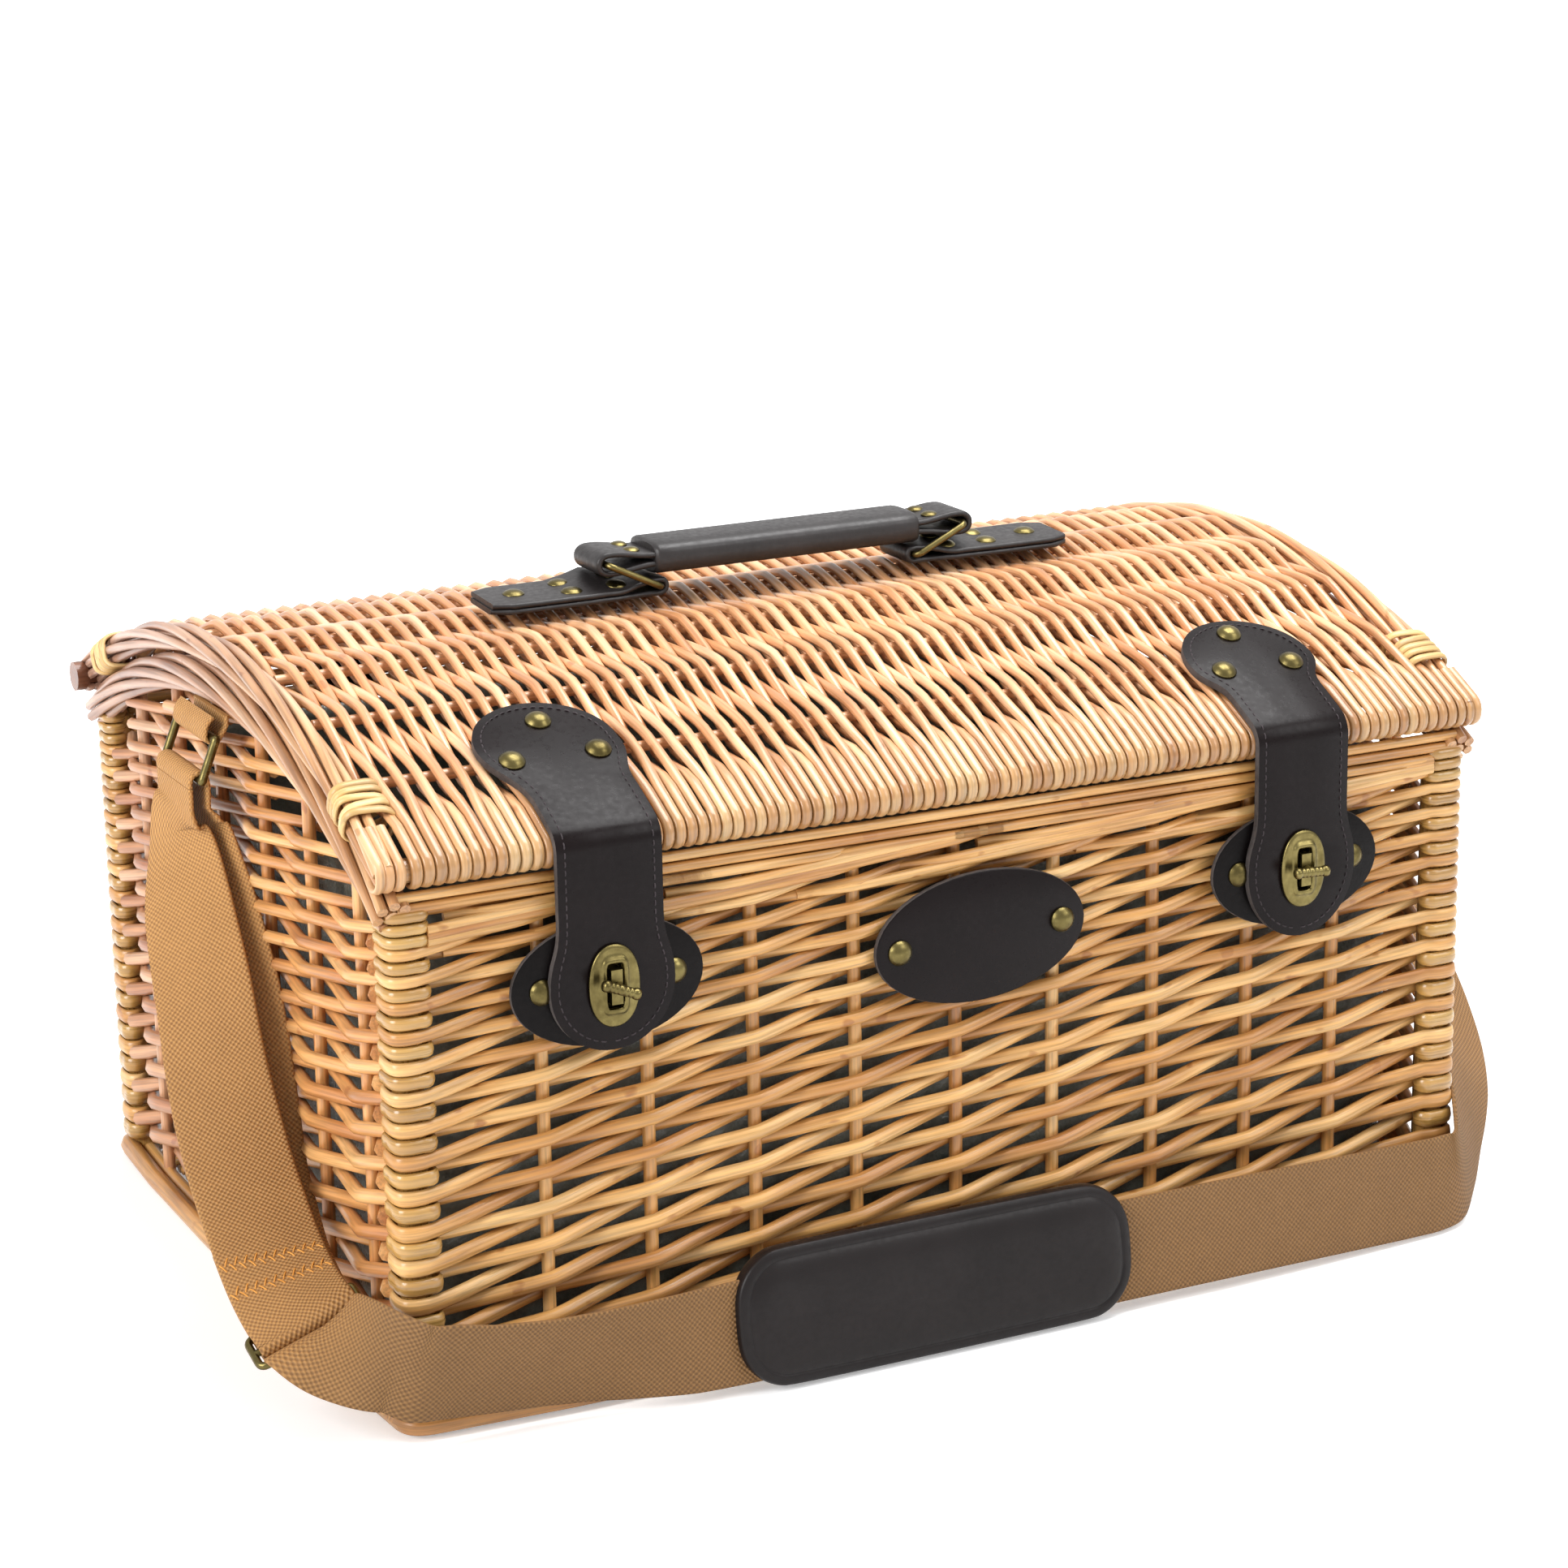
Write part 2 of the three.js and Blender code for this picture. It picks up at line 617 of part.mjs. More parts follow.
// Leather patches and turn-lock bases on the front wall
function makeLocks() {
  const patchBack = -HALF_DEPTH - GAP;
  const patchFace = patchBack - PATCH.thickness;
  const patchWidth = 2 * (PATCH_RIVET_X + PATCH.tip);
  for (const { name, sign } of SIDES) {
    const x = sign * LOCK_X;
    const group = place(x, 0, LOCK_HEIGHT);
    const patch = forwards(oval(patchWidth, PATCH.height), patchBack, PATCH.thickness, 24);
    add(`${name}_lock_patch`, patch, LEATHER, group);
    for (const [rivetSide, rivetSign] of [['outer', sign], ['inner', -sign]]) {
      const rivetX = x + rivetSign * PATCH_RIVET_X;
      addFrontRivet(`${name}_patch_${rivetSide}_rivet`, rivetX, patchFace, LOCK_HEIGHT);
    }
    const plateBack = patchFace - GAP;
    const plateShape = oval(LOCK_PLATE.width, LOCK_PLATE.height);
    const plate = solidOf(forwards(plateShape, plateBack, LOCK_PLATE.thickness, 16));
    const neckX = LOCK_NECK.width / 2;
    const neckZ = LOCK_NECK.height / 2;
    const neckShape = rectangle(-neckX, -neckZ, neckX, neckZ);
    const neck = solidOf(forwards(neckShape, plateBack, plateBack - NECK_FACE));
    add(`${name}_lock_base`, geometryOf(plate.add(neck)), BRASS, group);
  }
}

// Bare oval badge between the locks
function makeBadge() {
  const back = -HALF_DEPTH - GAP;
  const group = place(BADGE.x, 0, BADGE.up);
  group.rotation.y = -THREE.MathUtils.degToRad(BADGE.tilt);
  add('badge', forwards(oval(BADGE.width, BADGE.height), back, BADGE.thickness, 24), LEATHER, group);
  for (const { name, sign } of SIDES) {
    const reach = sign * (BADGE.width / 2 - BADGE.rivetInset);
    const rise = reach * Math.tan(THREE.MathUtils.degToRad(BADGE.tilt));
    addFrontRivet(`badge_${name}_rivet`, BADGE.x + reach, back - BADGE.thickness, BADGE.up + rise);
  }
}

// Leather hinge loops over the back rail, tucked inside the rim and lying on the back wall
function makeHinges() {
  const inner = RAIL_RADIUS + GAP;
  const outer = inner + HINGE_LEATHER;
  const wallFace = HALF_DEPTH + GAP;
  const railLow = RAIL_Z - RAIL_RADIUS;
  const shape = new THREE.Shape();
  shape.moveTo(RAIL_Y - inner, RAIL_Z - HINGE_TUCK);
  shape.lineTo(RAIL_Y - inner, RAIL_Z);
  shape.absarc(RAIL_Y, RAIL_Z, inner, Math.PI, 0, true);
  shape.lineTo(RAIL_Y + inner, railLow + RAIL_RADIUS / 2);
  shape.lineTo(wallFace, railLow - RIM_HEIGHT / 4);
  shape.lineTo(wallFace, RAIL_Z - HINGE_TAIL);
  shape.lineTo(wallFace + HINGE_LEATHER, RAIL_Z - HINGE_TAIL);
  shape.lineTo(wallFace + HINGE_LEATHER, railLow - RIM_HEIGHT / 4);
  shape.lineTo(RAIL_Y + outer, railLow + RAIL_RADIUS / 2);
  shape.lineTo(RAIL_Y + outer, RAIL_Z);
  shape.absarc(RAIL_Y, RAIL_Z, outer, 0, Math.PI, false);
  shape.lineTo(RAIL_Y - outer, RAIL_Z - HINGE_TUCK);
  shape.closePath();
  for (const { name, sign } of SIDES) {
    const x = sign * HINGE_X;
    add(`${name}_hinge_loop`, alongX(shape, x - HINGE_WIDTH / 2, x + HINGE_WIDTH / 2, 10), LEATHER);
  }
}

// Weave of the lid: rods from front to back, over and under the sticks, tight along both edges
function lidWeave(panelEnd) {
  const rods = Math.round((2 * panelEnd) / LID_ROD_PITCH);
  const band = Math.asin((HALF_DEPTH - LID_EDGE_BAND) / LID_RADIUS);
  const edge = 2 * EDGE_ANGLE - band; // past the lid's edge
  const angles = [-edge, -band];
  for (let stick = 0; stick < LID_STICKS.count; stick += 1) {
    angles.push(Math.asin(((stick - (LID_STICKS.count - 1) / 2) * LID_STICKS.pitch) / LID_RADIUS));
  }
  angles.push(band, edge);
  const raised = (column, row) => row < 2 || row > LID_STICKS.count + 1 || (column + row) % 2 === 0;
  return wovenSlab(rods + 1, angles.length, raised, (column, row, behind) => {
    const lift = raised(column, row) ? -LID_ROD_ROOM : -LID_RELIEF;
    const radius = LID_RADIUS + (behind ? -2 * LID_THICKNESS : lift);
    const x = (column / rods - 0.5) * 2 * (panelEnd + GAP);
    return [x, radius * Math.sin(angles[row]), ARC_Z + radius * Math.cos(angles[row])];
  });
}

// Domed lid: woven panel between two end hoops and two rails
function makeLid() {
  const inner = LID_RADIUS - LID_THICKNESS;
  const panelEnd = LID_LENGTH / 2 - HOOP_WIDTH - GAP;
  const band = archBand(inner, LID_RADIUS + LID_RELIEF, -EDGE_ANGLE, EDGE_ANGLE);
  let panel = solidOf(alongX(band, -panelEnd, panelEnd, 24)).intersect(lidWeave(panelEnd));
  for (const ySign of [-1, 1]) {
    panel = panel.subtract(railSolid(ySign * RAIL_Y, RAIL_RADIUS + GAP));
  }
  for (const { sign } of SIDES) {
    const x = sign * HINGE_X;
    const half = HINGE_WIDTH / 2 + HINGE_SIDE_ROOM;
    const low = RAIL_Z - HINGE_NOTCH;
    const notch = box(x - half, RAIL_Y - HINGE_NOTCH, low, x + half, RAIL_Y + HINGE_NOTCH, LID_TOP);
    panel = panel.subtract(solidOf(notch));
  }
  add('lid_panel', geometryOf(panel), WILLOW);
  for (const { name, sign } of SIDES) {
    const end = (sign * LID_LENGTH) / 2;
    const start = end - sign * HOOP_WIDTH;
    const arch = archBand(LID_RADIUS - HOOP_HEIGHT, LID_RADIUS, -EDGE_ANGLE, EDGE_ANGLE);
    let hoop = solidOf(alongX(arch, Math.min(start, end), Math.max(start, end), 24));
    for (const ySign of [-1, 1]) {
      hoop = hoop.subtract(railSolid(ySign * RAIL_Y, RAIL_RADIUS + GAP));
    }
    add(`lid_${name}_hoop`, geometryOf(hoop), WILLOW);
  }
  for (const [name, ySign] of [['front', -1], ['back', 1]]) {
    add(`lid_${name}_rail`, geometryOf(railSolid(ySign * RAIL_Y, RAIL_RADIUS)), WILLOW);
  }
}

// Plan outline of a strap head on the lid: the strap widens to a rounded head
function headOutline() {
  const front = STRAP_FACE;
  const neck = front + STRAP_NECK_REACH;
  const halfHead = STRAP_HEAD_WIDTH / 2;
  const roundY = front + STRAP_HEAD_REACH - halfHead;
  const halfStrap = STRAP_WIDTH / 2;
  const middle = (neck + roundY) / 2;
  const shape = new THREE.Shape();
  shape.moveTo(-halfStrap, front - GAP);
  shape.lineTo(halfStrap, front - GAP);
  shape.lineTo(halfStrap, neck);
  shape.bezierCurveTo(halfStrap, middle, halfHead, middle, halfHead, roundY);
  shape.absarc(0, roundY, halfHead, 0, Math.PI, false);
  shape.bezierCurveTo(-halfHead, middle, -halfStrap, middle, -halfStrap, neck);
  shape.closePath();
  return shape;
}

// Section of a strap head: along the lid's arc, then round the front rail down to its middle
function headSection() {
  const low = LID_RADIUS + GAP;
  const high = low + STRAP_LEATHER;
  const bend = RAIL_RADIUS + GAP;
  const backAngle = Math.asin((-STRAP_FACE - STRAP_HEAD_REACH) / high) - GAP / high;
  const edge = Math.PI / 2 + EDGE_ANGLE;
  const shape = new THREE.Shape();
  shape.absarc(0, ARC_Z, low, Math.PI / 2 + backAngle, edge, false);
  shape.absarc(-RAIL_Y, RAIL_Z, bend, edge, Math.PI, false);
  shape.absarc(-RAIL_Y, RAIL_Z, bend + STRAP_LEATHER, Math.PI, edge, true);
  shape.absarc(0, ARC_Z, high, edge, Math.PI / 2 + backAngle, true);
  shape.closePath();
  return shape;
}

// Rectangular hole about the Y axis, its middle at a height
function slotHole(width, height, middle) {
  const hole = new THREE.Path();
  hole.moveTo(-width / 2, middle - height / 2);
  hole.lineTo(-width / 2, middle + height / 2);
  hole.lineTo(width / 2, middle + height / 2);
  hole.lineTo(width / 2, middle - height / 2);
  hole.closePath();
  return hole;
}

// Hanging part of a lock strap, widened to a round end, with a slot for the lock
function flapOutline() {
  const half = STRAP_WIDTH / 2;
  const halfEnd = STRAP_END_WIDTH / 2;
  const top = RAIL_Z - GAP;
  const shape = new THREE.Shape();
  const widen = LOCK_HEIGHT + halfEnd;
  const middle = (widen + LOCK_HEIGHT) / 2;
  shape.moveTo(half, top);
  shape.lineTo(-half, top);
  shape.lineTo(-half, widen);
  shape.bezierCurveTo(-half, middle, -halfEnd, middle, -halfEnd, LOCK_HEIGHT);
  shape.absarc(0, LOCK_HEIGHT, halfEnd, Math.PI, 2 * Math.PI, false);
  shape.bezierCurveTo(halfEnd, middle, half, middle, half, widen);
  shape.closePath();
  shape.holes.push(slotHole(STRAP_SLOT.width, STRAP_SLOT.height, LOCK_HEIGHT));
  return shape;
}

// Beaded turn bar along X, with a shank towards the lock's neck
function turnBarGeometry() {
  const half = TURN_BAR.length / 2;
  const bead = TURN_BAR.diameter / 2;
  const waist = TURN_BAR.waist / 2;
  const profile = [
    [0, -half], [waist, -half], [bead, -TURN_BAR.beadAt], [waist, -TURN_BAR.waistAt],
    [TURN_BAR.middle / 2, 0],
    [waist, TURN_BAR.waistAt], [bead, TURN_BAR.beadAt], [waist, half], [0, half],
  ].map(([radius, along]) => new THREE.Vector2(radius, along));
  const bar = new THREE.LatheGeometry(profile, 10).rotateZ(-Math.PI / 2);
  const shank = new THREE.CylinderGeometry(
    TURN_BAR.shankDiameter / 2, TURN_BAR.shankDiameter / 2, bead + TURN_BAR.shankLength, 10,
  );
  shank.translate(0, (bead + TURN_BAR.shankLength) / 2, 0);
  return geometryOf(solidOf(bar).add(solidOf(shank)));
}

// Lock straps: riveted head on the lid, hanging flap, slotted hasp plate and turn bar
function makeLockStraps() {
  const section = headSection();
  const plan = headOutline();
  const reach = STRAP_HEAD_WIDTH;
  const turns = { left: LEFT_BAR_TURN, right: RIGHT_BAR_TURN };
  for (const { name, sign } of SIDES) {
    const group = place(sign * LOCK_X, 0, 0);
    const curved = solidOf(alongX(section, -reach, reach, 12));
    const outline = solidOf(upwards(plan, 0, LID_TOP + reach, 10));
    add(`${name}_strap_head`, geometryOf(curved.intersect(outline)), LEATHER, group);
    HEAD_RIVETS.forEach(({ across, reach: back }, number) => {
      const y = STRAP_FACE + back;
      const radius = LID_RADIUS + GAP + STRAP_LEATHER + GAP;
      const angle = Math.asin(y / radius);
      const seat = place(across, y, ARC_Z + radius * Math.cos(angle), group);
      seat.rotation.x = -angle;
      add(`${name}_strap_rivet_${number + 1}`, rivetGeometry(), BRASS, seat);
    });
    add(`${name}_strap_flap`, forwards(flapOutline(), STRAP_BACK, STRAP_LEATHER, 10), LEATHER, group);
    const plate = oval(HASP.width, HASP.height);
    plate.holes.push(slotHole(HASP.slotWidth, HASP.slotHeight, 0));
    const hasp = forwards(plate, STRAP_FACE - GAP, HASP.thickness, 20).translate(0, 0, LOCK_HEIGHT);
    add(`${name}_hasp_plate`, hasp, BRASS, group);
    const seatY = NECK_FACE - GAP - TURN_BAR.shankLength - TURN_BAR.diameter / 2;
    const turn = place(0, seatY, LOCK_HEIGHT, group);
    turn.rotation.y = THREE.MathUtils.degToRad(turns[name]);
    add(`${name}_turn_bar`, turnBarGeometry(), BRASS, turn);
  }
}

// Top handle: riveted tabs, wire rings, folded leather strap and a wrapped sleeve
function makeHandle() {
  const group = place(HANDLE_X, HANDLE_Y, LID_TOP + GAP);
  const foldRadius = RING_WIRE / 2 + RING_ROOM;
  const foldOuter = foldRadius + TAB.leather;
  const lean = THREE.MathUtils.degToRad(RING_LEAN);
  const shoulder = THREE.MathUtils.degToRad(TAB.shoulder);
  const foldX = TAB_FOLD_SPACING / 2;
  const strapZ = foldOuter + RING_REACH * Math.sin(lean);
  for (const { name, sign } of SIDES) {
    const tab = new THREE.Shape();
    tab.moveTo(0, 0);
    tab.lineTo(TAB.length, 0);
    tab.lineTo(TAB.length, TAB.flat);
    tab.lineTo(TAB.taper, TAB.flat);
    tab.absarc(0, foldOuter, foldOuter, shoulder, 1.5 * Math.PI, false);
    tab.closePath();
    tab.holes.push(new THREE.Path().absarc(0, foldOuter, foldRadius, 0, 2 * Math.PI, true));
    const strip = forwards(tab, TAB.width / 2, TAB.width, 14);
    const seat = place(sign * foldX, 0, 0, group);
    seat.rotation.z = sign > 0 ? 0 : Math.PI;
    add(`${name}_handle_tab`, strip, LEATHER, seat);
    const ringWidth = HANDLE_WIDTH + 2 * RING_SIDE_ROOM + 2 * RING_WIRE;
    const ring = wireRing(RING_REACH + RING_WIRE, ringWidth, RING_WIRE).translate(RING_REACH / 2, 0, 0);
    const pivot = place(0, 0, foldOuter, seat);
    pivot.rotation.y = -lean;
    add(`${name}_handle_ring`, ring, BRASS, pivot);
  }
  const barX = foldX + RING_REACH * Math.cos(lean);
  const endHeight = HANDLE_END_HOLLOW.height + 2 * HANDLE_LEATHER;
  const strap = strapOutline(endHeight, barX);
  const strapBody = forwards(strap, HANDLE_WIDTH / 2, HANDLE_WIDTH, 6);
  add('handle_strap', strapBody, LEATHER, place(0, 0, strapZ, group));
  const sleeve = roundedRectangle(SLEEVE.width, SLEEVE.height, SLEEVE.rounding);
  const hollowY = HANDLE_WIDTH / 2 + SLEEVE_ROOM;
  const hollowZ = HANDLE_CORE / 2 + SLEEVE_ROOM;
  sleeve.holes.push(slotHole(2 * hollowY, 2 * hollowZ, 0));
  const tube = alongX(sleeve, -SLEEVE.length / 2, SLEEVE.length / 2, 6);
  add('handle_sleeve', tube, LEATHER, place(0, 0, strapZ, group));
}

// Side view of the handle's strap: a flat core, thick folded ends and a long hollow for each ring bar
function strapOutline(endHeight, barX) {
  const far = barX + RING_WIRE / 2 + HANDLE_END_HOLLOW.room;
  const half = far + HANDLE_LEATHER;
  const flatStart = half - HANDLE_END_FLAT;
  const high = endHeight / 2;
  const core = HANDLE_CORE / 2;
  const shape = new THREE.Shape();
  shape.moveTo(-flatStart, -core);
  shape.lineTo(flatStart, -core);
  shape.lineTo(flatStart + high - core, -high);
  shape.lineTo(half - high, -high);
  shape.absarc(half - high, 0, high, -Math.PI / 2, Math.PI / 2, false);
  shape.lineTo(flatStart + high - core, high);
  shape.lineTo(flatStart, core);
  shape.lineTo(-flatStart, core);
  shape.lineTo(-flatStart - high + core, high);
  shape.lineTo(high - half, high);
  shape.absarc(high - half, 0, high, Math.PI / 2, 1.5 * Math.PI, false);
  shape.lineTo(-flatStart - high + core, -high);
  shape.closePath();
  const hollow = HANDLE_END_HOLLOW.height / 2;
  for (const { sign } of SIDES) {
    const near = far - HANDLE_END_HOLLOW.length;
    const path = new THREE.Path();
    path.moveTo(sign * (near + hollow), -hollow);
    path.lineTo(sign * (far - hollow), -hollow);
    path.absarc(sign * (far - hollow), 0, hollow, -Math.PI / 2, Math.PI / 2, sign < 0);
    path.lineTo(sign * (near + hollow), hollow);
    path.absarc(sign * (near + hollow), 0, hollow, Math.PI / 2, 1.5 * Math.PI, sign < 0);
    path.closePath();
    shape.holes.push(path);
  }
  return shape;
}

function stationsOf(route) {
  return route.map(([x, y, z, ax, ay, az]) => ({
    at: new THREE.Vector3(x, y, z),
    across: new THREE.Vector3(ax, ay, az).normalize(),
  }));
}

// Half a turn of webbing over the lower bar of a strap ring, from its outer side to its inner side
const WRAP_REACH = STRAP_RING_WIRE / 2 + WRAP_ROOM + WEBBING.thickness / 2;

function ringWrap(sign) {
  const barX = HALF_LENGTH + STRAP_RING_FOOT.out;
  const bends = 4;
  const stations = [];
  const station = (out, up) => {
    const at = new THREE.Vector3(sign * (barX + out), STRAP_RING_Y, STRAP_RING_FOOT.up + up);
    stations.push({ at, across: new THREE.Vector3(0, 1, 0) });
  };
  station(WRAP_REACH, -WEBBING.thickness);
  for (let bend = 0; bend <= bends; bend += 1) {
    const turn = (bend / bends) * Math.PI;
    station(WRAP_REACH * Math.cos(turn), WRAP_REACH * Math.sin(turn));
  }
  station(-WRAP_REACH, -WEBBING.thickness);
  return stations;
}

// Webbing loops and wire rings on the end walls
function makeStrapRings() {
  const leanOut = STRAP_RING_FOOT.out - STRAP_RING_TOP.out;
  const drop = STRAP_RING_TOP.up - STRAP_RING_FOOT.up;
  const lean = Math.atan2(leanOut, drop);
  const reach = Math.hypot(leanOut, drop);
  const holeRadius = STRAP_RING_WIRE / 2 + GAP;
  const outer = holeRadius + WEBBING.thickness;
  const edge = STRAP_RING_Y + WEBBING.width / 2;
  const borderLow = ARC_Z + Math.sqrt((BORDER_RADIUS - BORDER_HEIGHT) ** 2 - edge ** 2);
  for (const { name, sign } of SIDES) {
    const barX = sign * (HALF_LENGTH + STRAP_RING_TOP.out);
    const shape = new THREE.Shape();
    const top = borderLow - GAP - STRAP_RING_TOP.up;
    const wallSide = -(STRAP_RING_TOP.out - GAP);
    shape.moveTo(outer, 0);
    shape.lineTo(outer, top);
    shape.lineTo(wallSide, top);
    shape.lineTo(wallSide, 0);
    shape.lineTo(-outer, 0);
    shape.absarc(0, 0, outer, Math.PI, 2 * Math.PI, false);
    shape.closePath();
    shape.holes.push(new THREE.Path().absarc(0, 0, holeRadius, 0, 2 * Math.PI, true));
    const loop = forwards(shape, WEBBING.width / 2, WEBBING.width, 10);
    const seat = place(barX, STRAP_RING_Y, STRAP_RING_TOP.up);
    seat.rotation.z = sign > 0 ? 0 : Math.PI;
    add(`${name}_strap_loop`, loop, CANVAS, seat);
    const ring = wireRing(STRAP_RING_WIDTH + STRAP_RING_WIRE, reach + STRAP_RING_WIRE, STRAP_RING_WIRE);
    ring.rotateZ(Math.PI / 2).translate(reach / 2, 0, 0);
    const swing = place(0, 0, 0, seat);
    swing.rotation.y = Math.PI / 2 - lean;
    add(`${name}_strap_ring`, ring, BRASS, swing);
  }
}

// Section of the pad: flat top and bottom edges, faces bowed outwards
function padSection() {
  const half = PAD.width / 2;
  const edge = PAD.edge / 2;
  const bow = PAD.thickness - edge; // a curve's middle lies half way to this handle
  const shape = new THREE.Shape();
  shape.moveTo(-edge, -half);
  shape.lineTo(edge, -half);
  shape.quadraticCurveTo(bow, 0, edge, half);
  shape.lineTo(-edge, half);
  shape.quadraticCurveTo(-bow, 0, -edge, -half);
  shape.closePath();
  return shape;
}

// Shoulder strap with its doubled left fall, slider and pad
function makeShoulderStrap() {
  const leftWrap = ringWrap(-1);
  const tailTop = leftWrap[0].at.clone().addScaledVector(Z_AXIS, -GAP);
  const tailDrop = tailTop.clone().addScaledVector(Z_AXIS, -STRAIGHT_DROP);
  const hanging = [tailTop, tailDrop].map((at) => ({ at, across: leftWrap[0].across }));
  const tail = sectionsOf([...hanging, ...stationsOf(TAIL_ROUTE)]);
  add('strap_tail', ribbon(tail, WEBBING.width, WEBBING.thickness), CANVAS);

  // The strap comes over the left ring, down behind the tail, along the front and up to the right ring
  const behind = tail.slice(STEPS_PER_STRETCH).map((section, step, all) => {
    const t = step / (all.length - 1);
    const apart = THREE.MathUtils.lerp(2 * WRAP_REACH, LAYER_GAP, t) + LAYER_SAG * Math.sin(Math.PI * t) ** 2;
    return { ...section, at: section.at.clone().addScaledVector(section.normal, apart) };
  });
  const front = stationsOf(FRONT_ROUTE);
  const start = sectionsOf([...leftWrap, behind[0]]).slice(0, -1);
  const rest = sectionsOf([behind[behind.length - 1], ...front, ...ringWrap(1)]).slice(1);
  add('shoulder_strap', ribbon([...start, ...behind, ...rest], WEBBING.width, WEBBING.thickness), CANVAS);

  // The slider lies on the strap just past the end of the tail
  const { at, along, across, normal } = rest[STEPS_PER_STRETCH - 1];
  const frame = roundedRectangle(SLIDER.length, SLIDER.width, SLIDER.bar);
  const window = (SLIDER.width - 3 * SLIDER.bar) / 2;
  for (const row of [-1, 1]) {
    const middle = (row * (window + SLIDER.bar)) / 2;
    frame.holes.push(slotHole(SLIDER.length - 2 * SLIDER.bar, window, middle));
  }
  const slider = upwards(frame, -SLIDER.thickness / 2, SLIDER.thickness / 2, 4);
  const lift = (SLIDER.thickness + WEBBING.thickness) / 2 + SLIDER.room;
  const seat = new THREE.Group();
  seat.setRotationFromMatrix(new THREE.Matrix4().makeBasis(across, along, normal.clone().negate()));
  seat.position.copy(at).addScaledVector(normal, -lift);
  basket.add(seat);
  add('strap_slider', slider, BRASS, seat);

  // The pad is a sleeve with rounded faces on the straight stretch along the front
  const [padY, padZ, , acrossY, acrossZ] = STRAIGHT;
  const lean = Math.atan2(-acrossY, -acrossZ);
  const outline = roundedRectangle(PAD.length, PAD.width, PAD.rounding);
  const plan = solidOf(forwards(outline, PAD.thickness / 2, PAD.thickness, 6));
  const body = solidOf(alongX(padSection(), -PAD.length / 2, PAD.length / 2, 8)).intersect(plan);
  const passHeight = WEBBING.width / 2 + PAD_ROOM;
  const passDepth = WEBBING.thickness / 2 + PAD_ROOM;
  const pass = solidOf(box(-PAD.length, -passDepth, -passHeight, PAD.length, passDepth, passHeight));
  const padSeat = place(PAD.x, padY, padZ);
  padSeat.rotation.x = -lean;
  add('shoulder_pad', geometryOf(body.subtract(pass)), LEATHER, padSeat);
}

makeBase();
makePosts();
makeLongWalls();
makeEndWalls();
makeLiner();
makeLocks();
makeBadge();
makeHinges();
makeLid();
makeLockStraps();
makeHandle();
makeStrapRings();
makeShoulderStrap();

export default basket;
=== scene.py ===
"""Looks of a wicker picnic basket with a domed lid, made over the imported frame."""

from __future__ import annotations

import logging
import math
import random
from dataclasses import dataclass
from enum import Enum
from typing import Callable, Iterable, Sequence, Union

import bmesh
import bpy
import numpy as np
from bmesh.types import BMesh
from bpy.types import Material, Mesh, Node, NodeSocket, Object
from mathutils import Matrix, Vector, noise

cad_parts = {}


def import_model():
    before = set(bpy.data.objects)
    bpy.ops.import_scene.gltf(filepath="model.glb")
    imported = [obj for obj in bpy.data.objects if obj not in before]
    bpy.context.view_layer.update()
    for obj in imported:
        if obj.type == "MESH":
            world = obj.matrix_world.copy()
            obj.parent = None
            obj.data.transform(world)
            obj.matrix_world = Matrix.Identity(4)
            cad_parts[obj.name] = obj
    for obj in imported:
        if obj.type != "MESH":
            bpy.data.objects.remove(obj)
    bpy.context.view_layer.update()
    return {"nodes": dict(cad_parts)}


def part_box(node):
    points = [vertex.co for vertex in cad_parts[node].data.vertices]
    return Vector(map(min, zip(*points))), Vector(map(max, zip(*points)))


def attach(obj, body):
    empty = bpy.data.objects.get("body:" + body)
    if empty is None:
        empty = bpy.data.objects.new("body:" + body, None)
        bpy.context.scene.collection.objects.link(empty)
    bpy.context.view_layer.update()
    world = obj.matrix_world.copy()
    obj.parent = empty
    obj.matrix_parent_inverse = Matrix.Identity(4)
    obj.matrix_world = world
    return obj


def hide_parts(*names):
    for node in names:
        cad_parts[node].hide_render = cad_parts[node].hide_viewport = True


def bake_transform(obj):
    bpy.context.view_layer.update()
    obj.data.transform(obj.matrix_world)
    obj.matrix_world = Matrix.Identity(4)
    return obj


LOG = logging.getLogger("basket")
MM = 0.001

Triple = tuple[float, float, float]
Colour = Triple
Flat = tuple[float, float]
Outline = Sequence[Flat]
Points = np.ndarray
Route = tuple[Points, Points]
Value = Union[NodeSocket, float, Sequence[float]]

SIDES = ((-1, "left"), (1, "right"))
FRONT_AND_BACK = ((-1, "front"), (1, "back"))


class Slot(Enum):
    """Kinds of material that the finishes are sorted into."""

    WILLOW = "willow"
    LEATHER = "leather"
    BRASS = "brass"
    WEBBING = "webbing"
    LINING = "lining"


class Section(Enum):
    """How square a run's section is, as a superellipse power."""

    ROUND = 2.0
    BAND = 3.6
    STRAP = 8.0


# Sizes shared by several pieces, in mm


@dataclass(frozen=True)
class Shell:
    """Outer sizes of the body and the lid's arch."""

    half_length: float = 230.0
    half_width: float = 171.0
    arc_z: float = -92.69
    lid_radius: float = 356.69
    border_radius: float = 344.09
    edge_angle: float = math.radians(28.7)
    rail_y: float = 168.0
    rail_z: float = 214.0
    rail_radius: float = 7.0
    hinge_x: float = 120.0
    lock_x: float = 147.0
    lock_z: float = 163.0
    ring_y: float = 8.0
    ring_foot: Flat = (13.5, 211.5)


SHELL = Shell()
RIBBON_SIDES = 16
ARCH_STEPS = 61


# Finishes


def as_colour(value: Value) -> Value:
    """Returns a colour with its alpha, or the socket it already is."""
    return value if isinstance(value, NodeSocket) else (*value, 1.0)


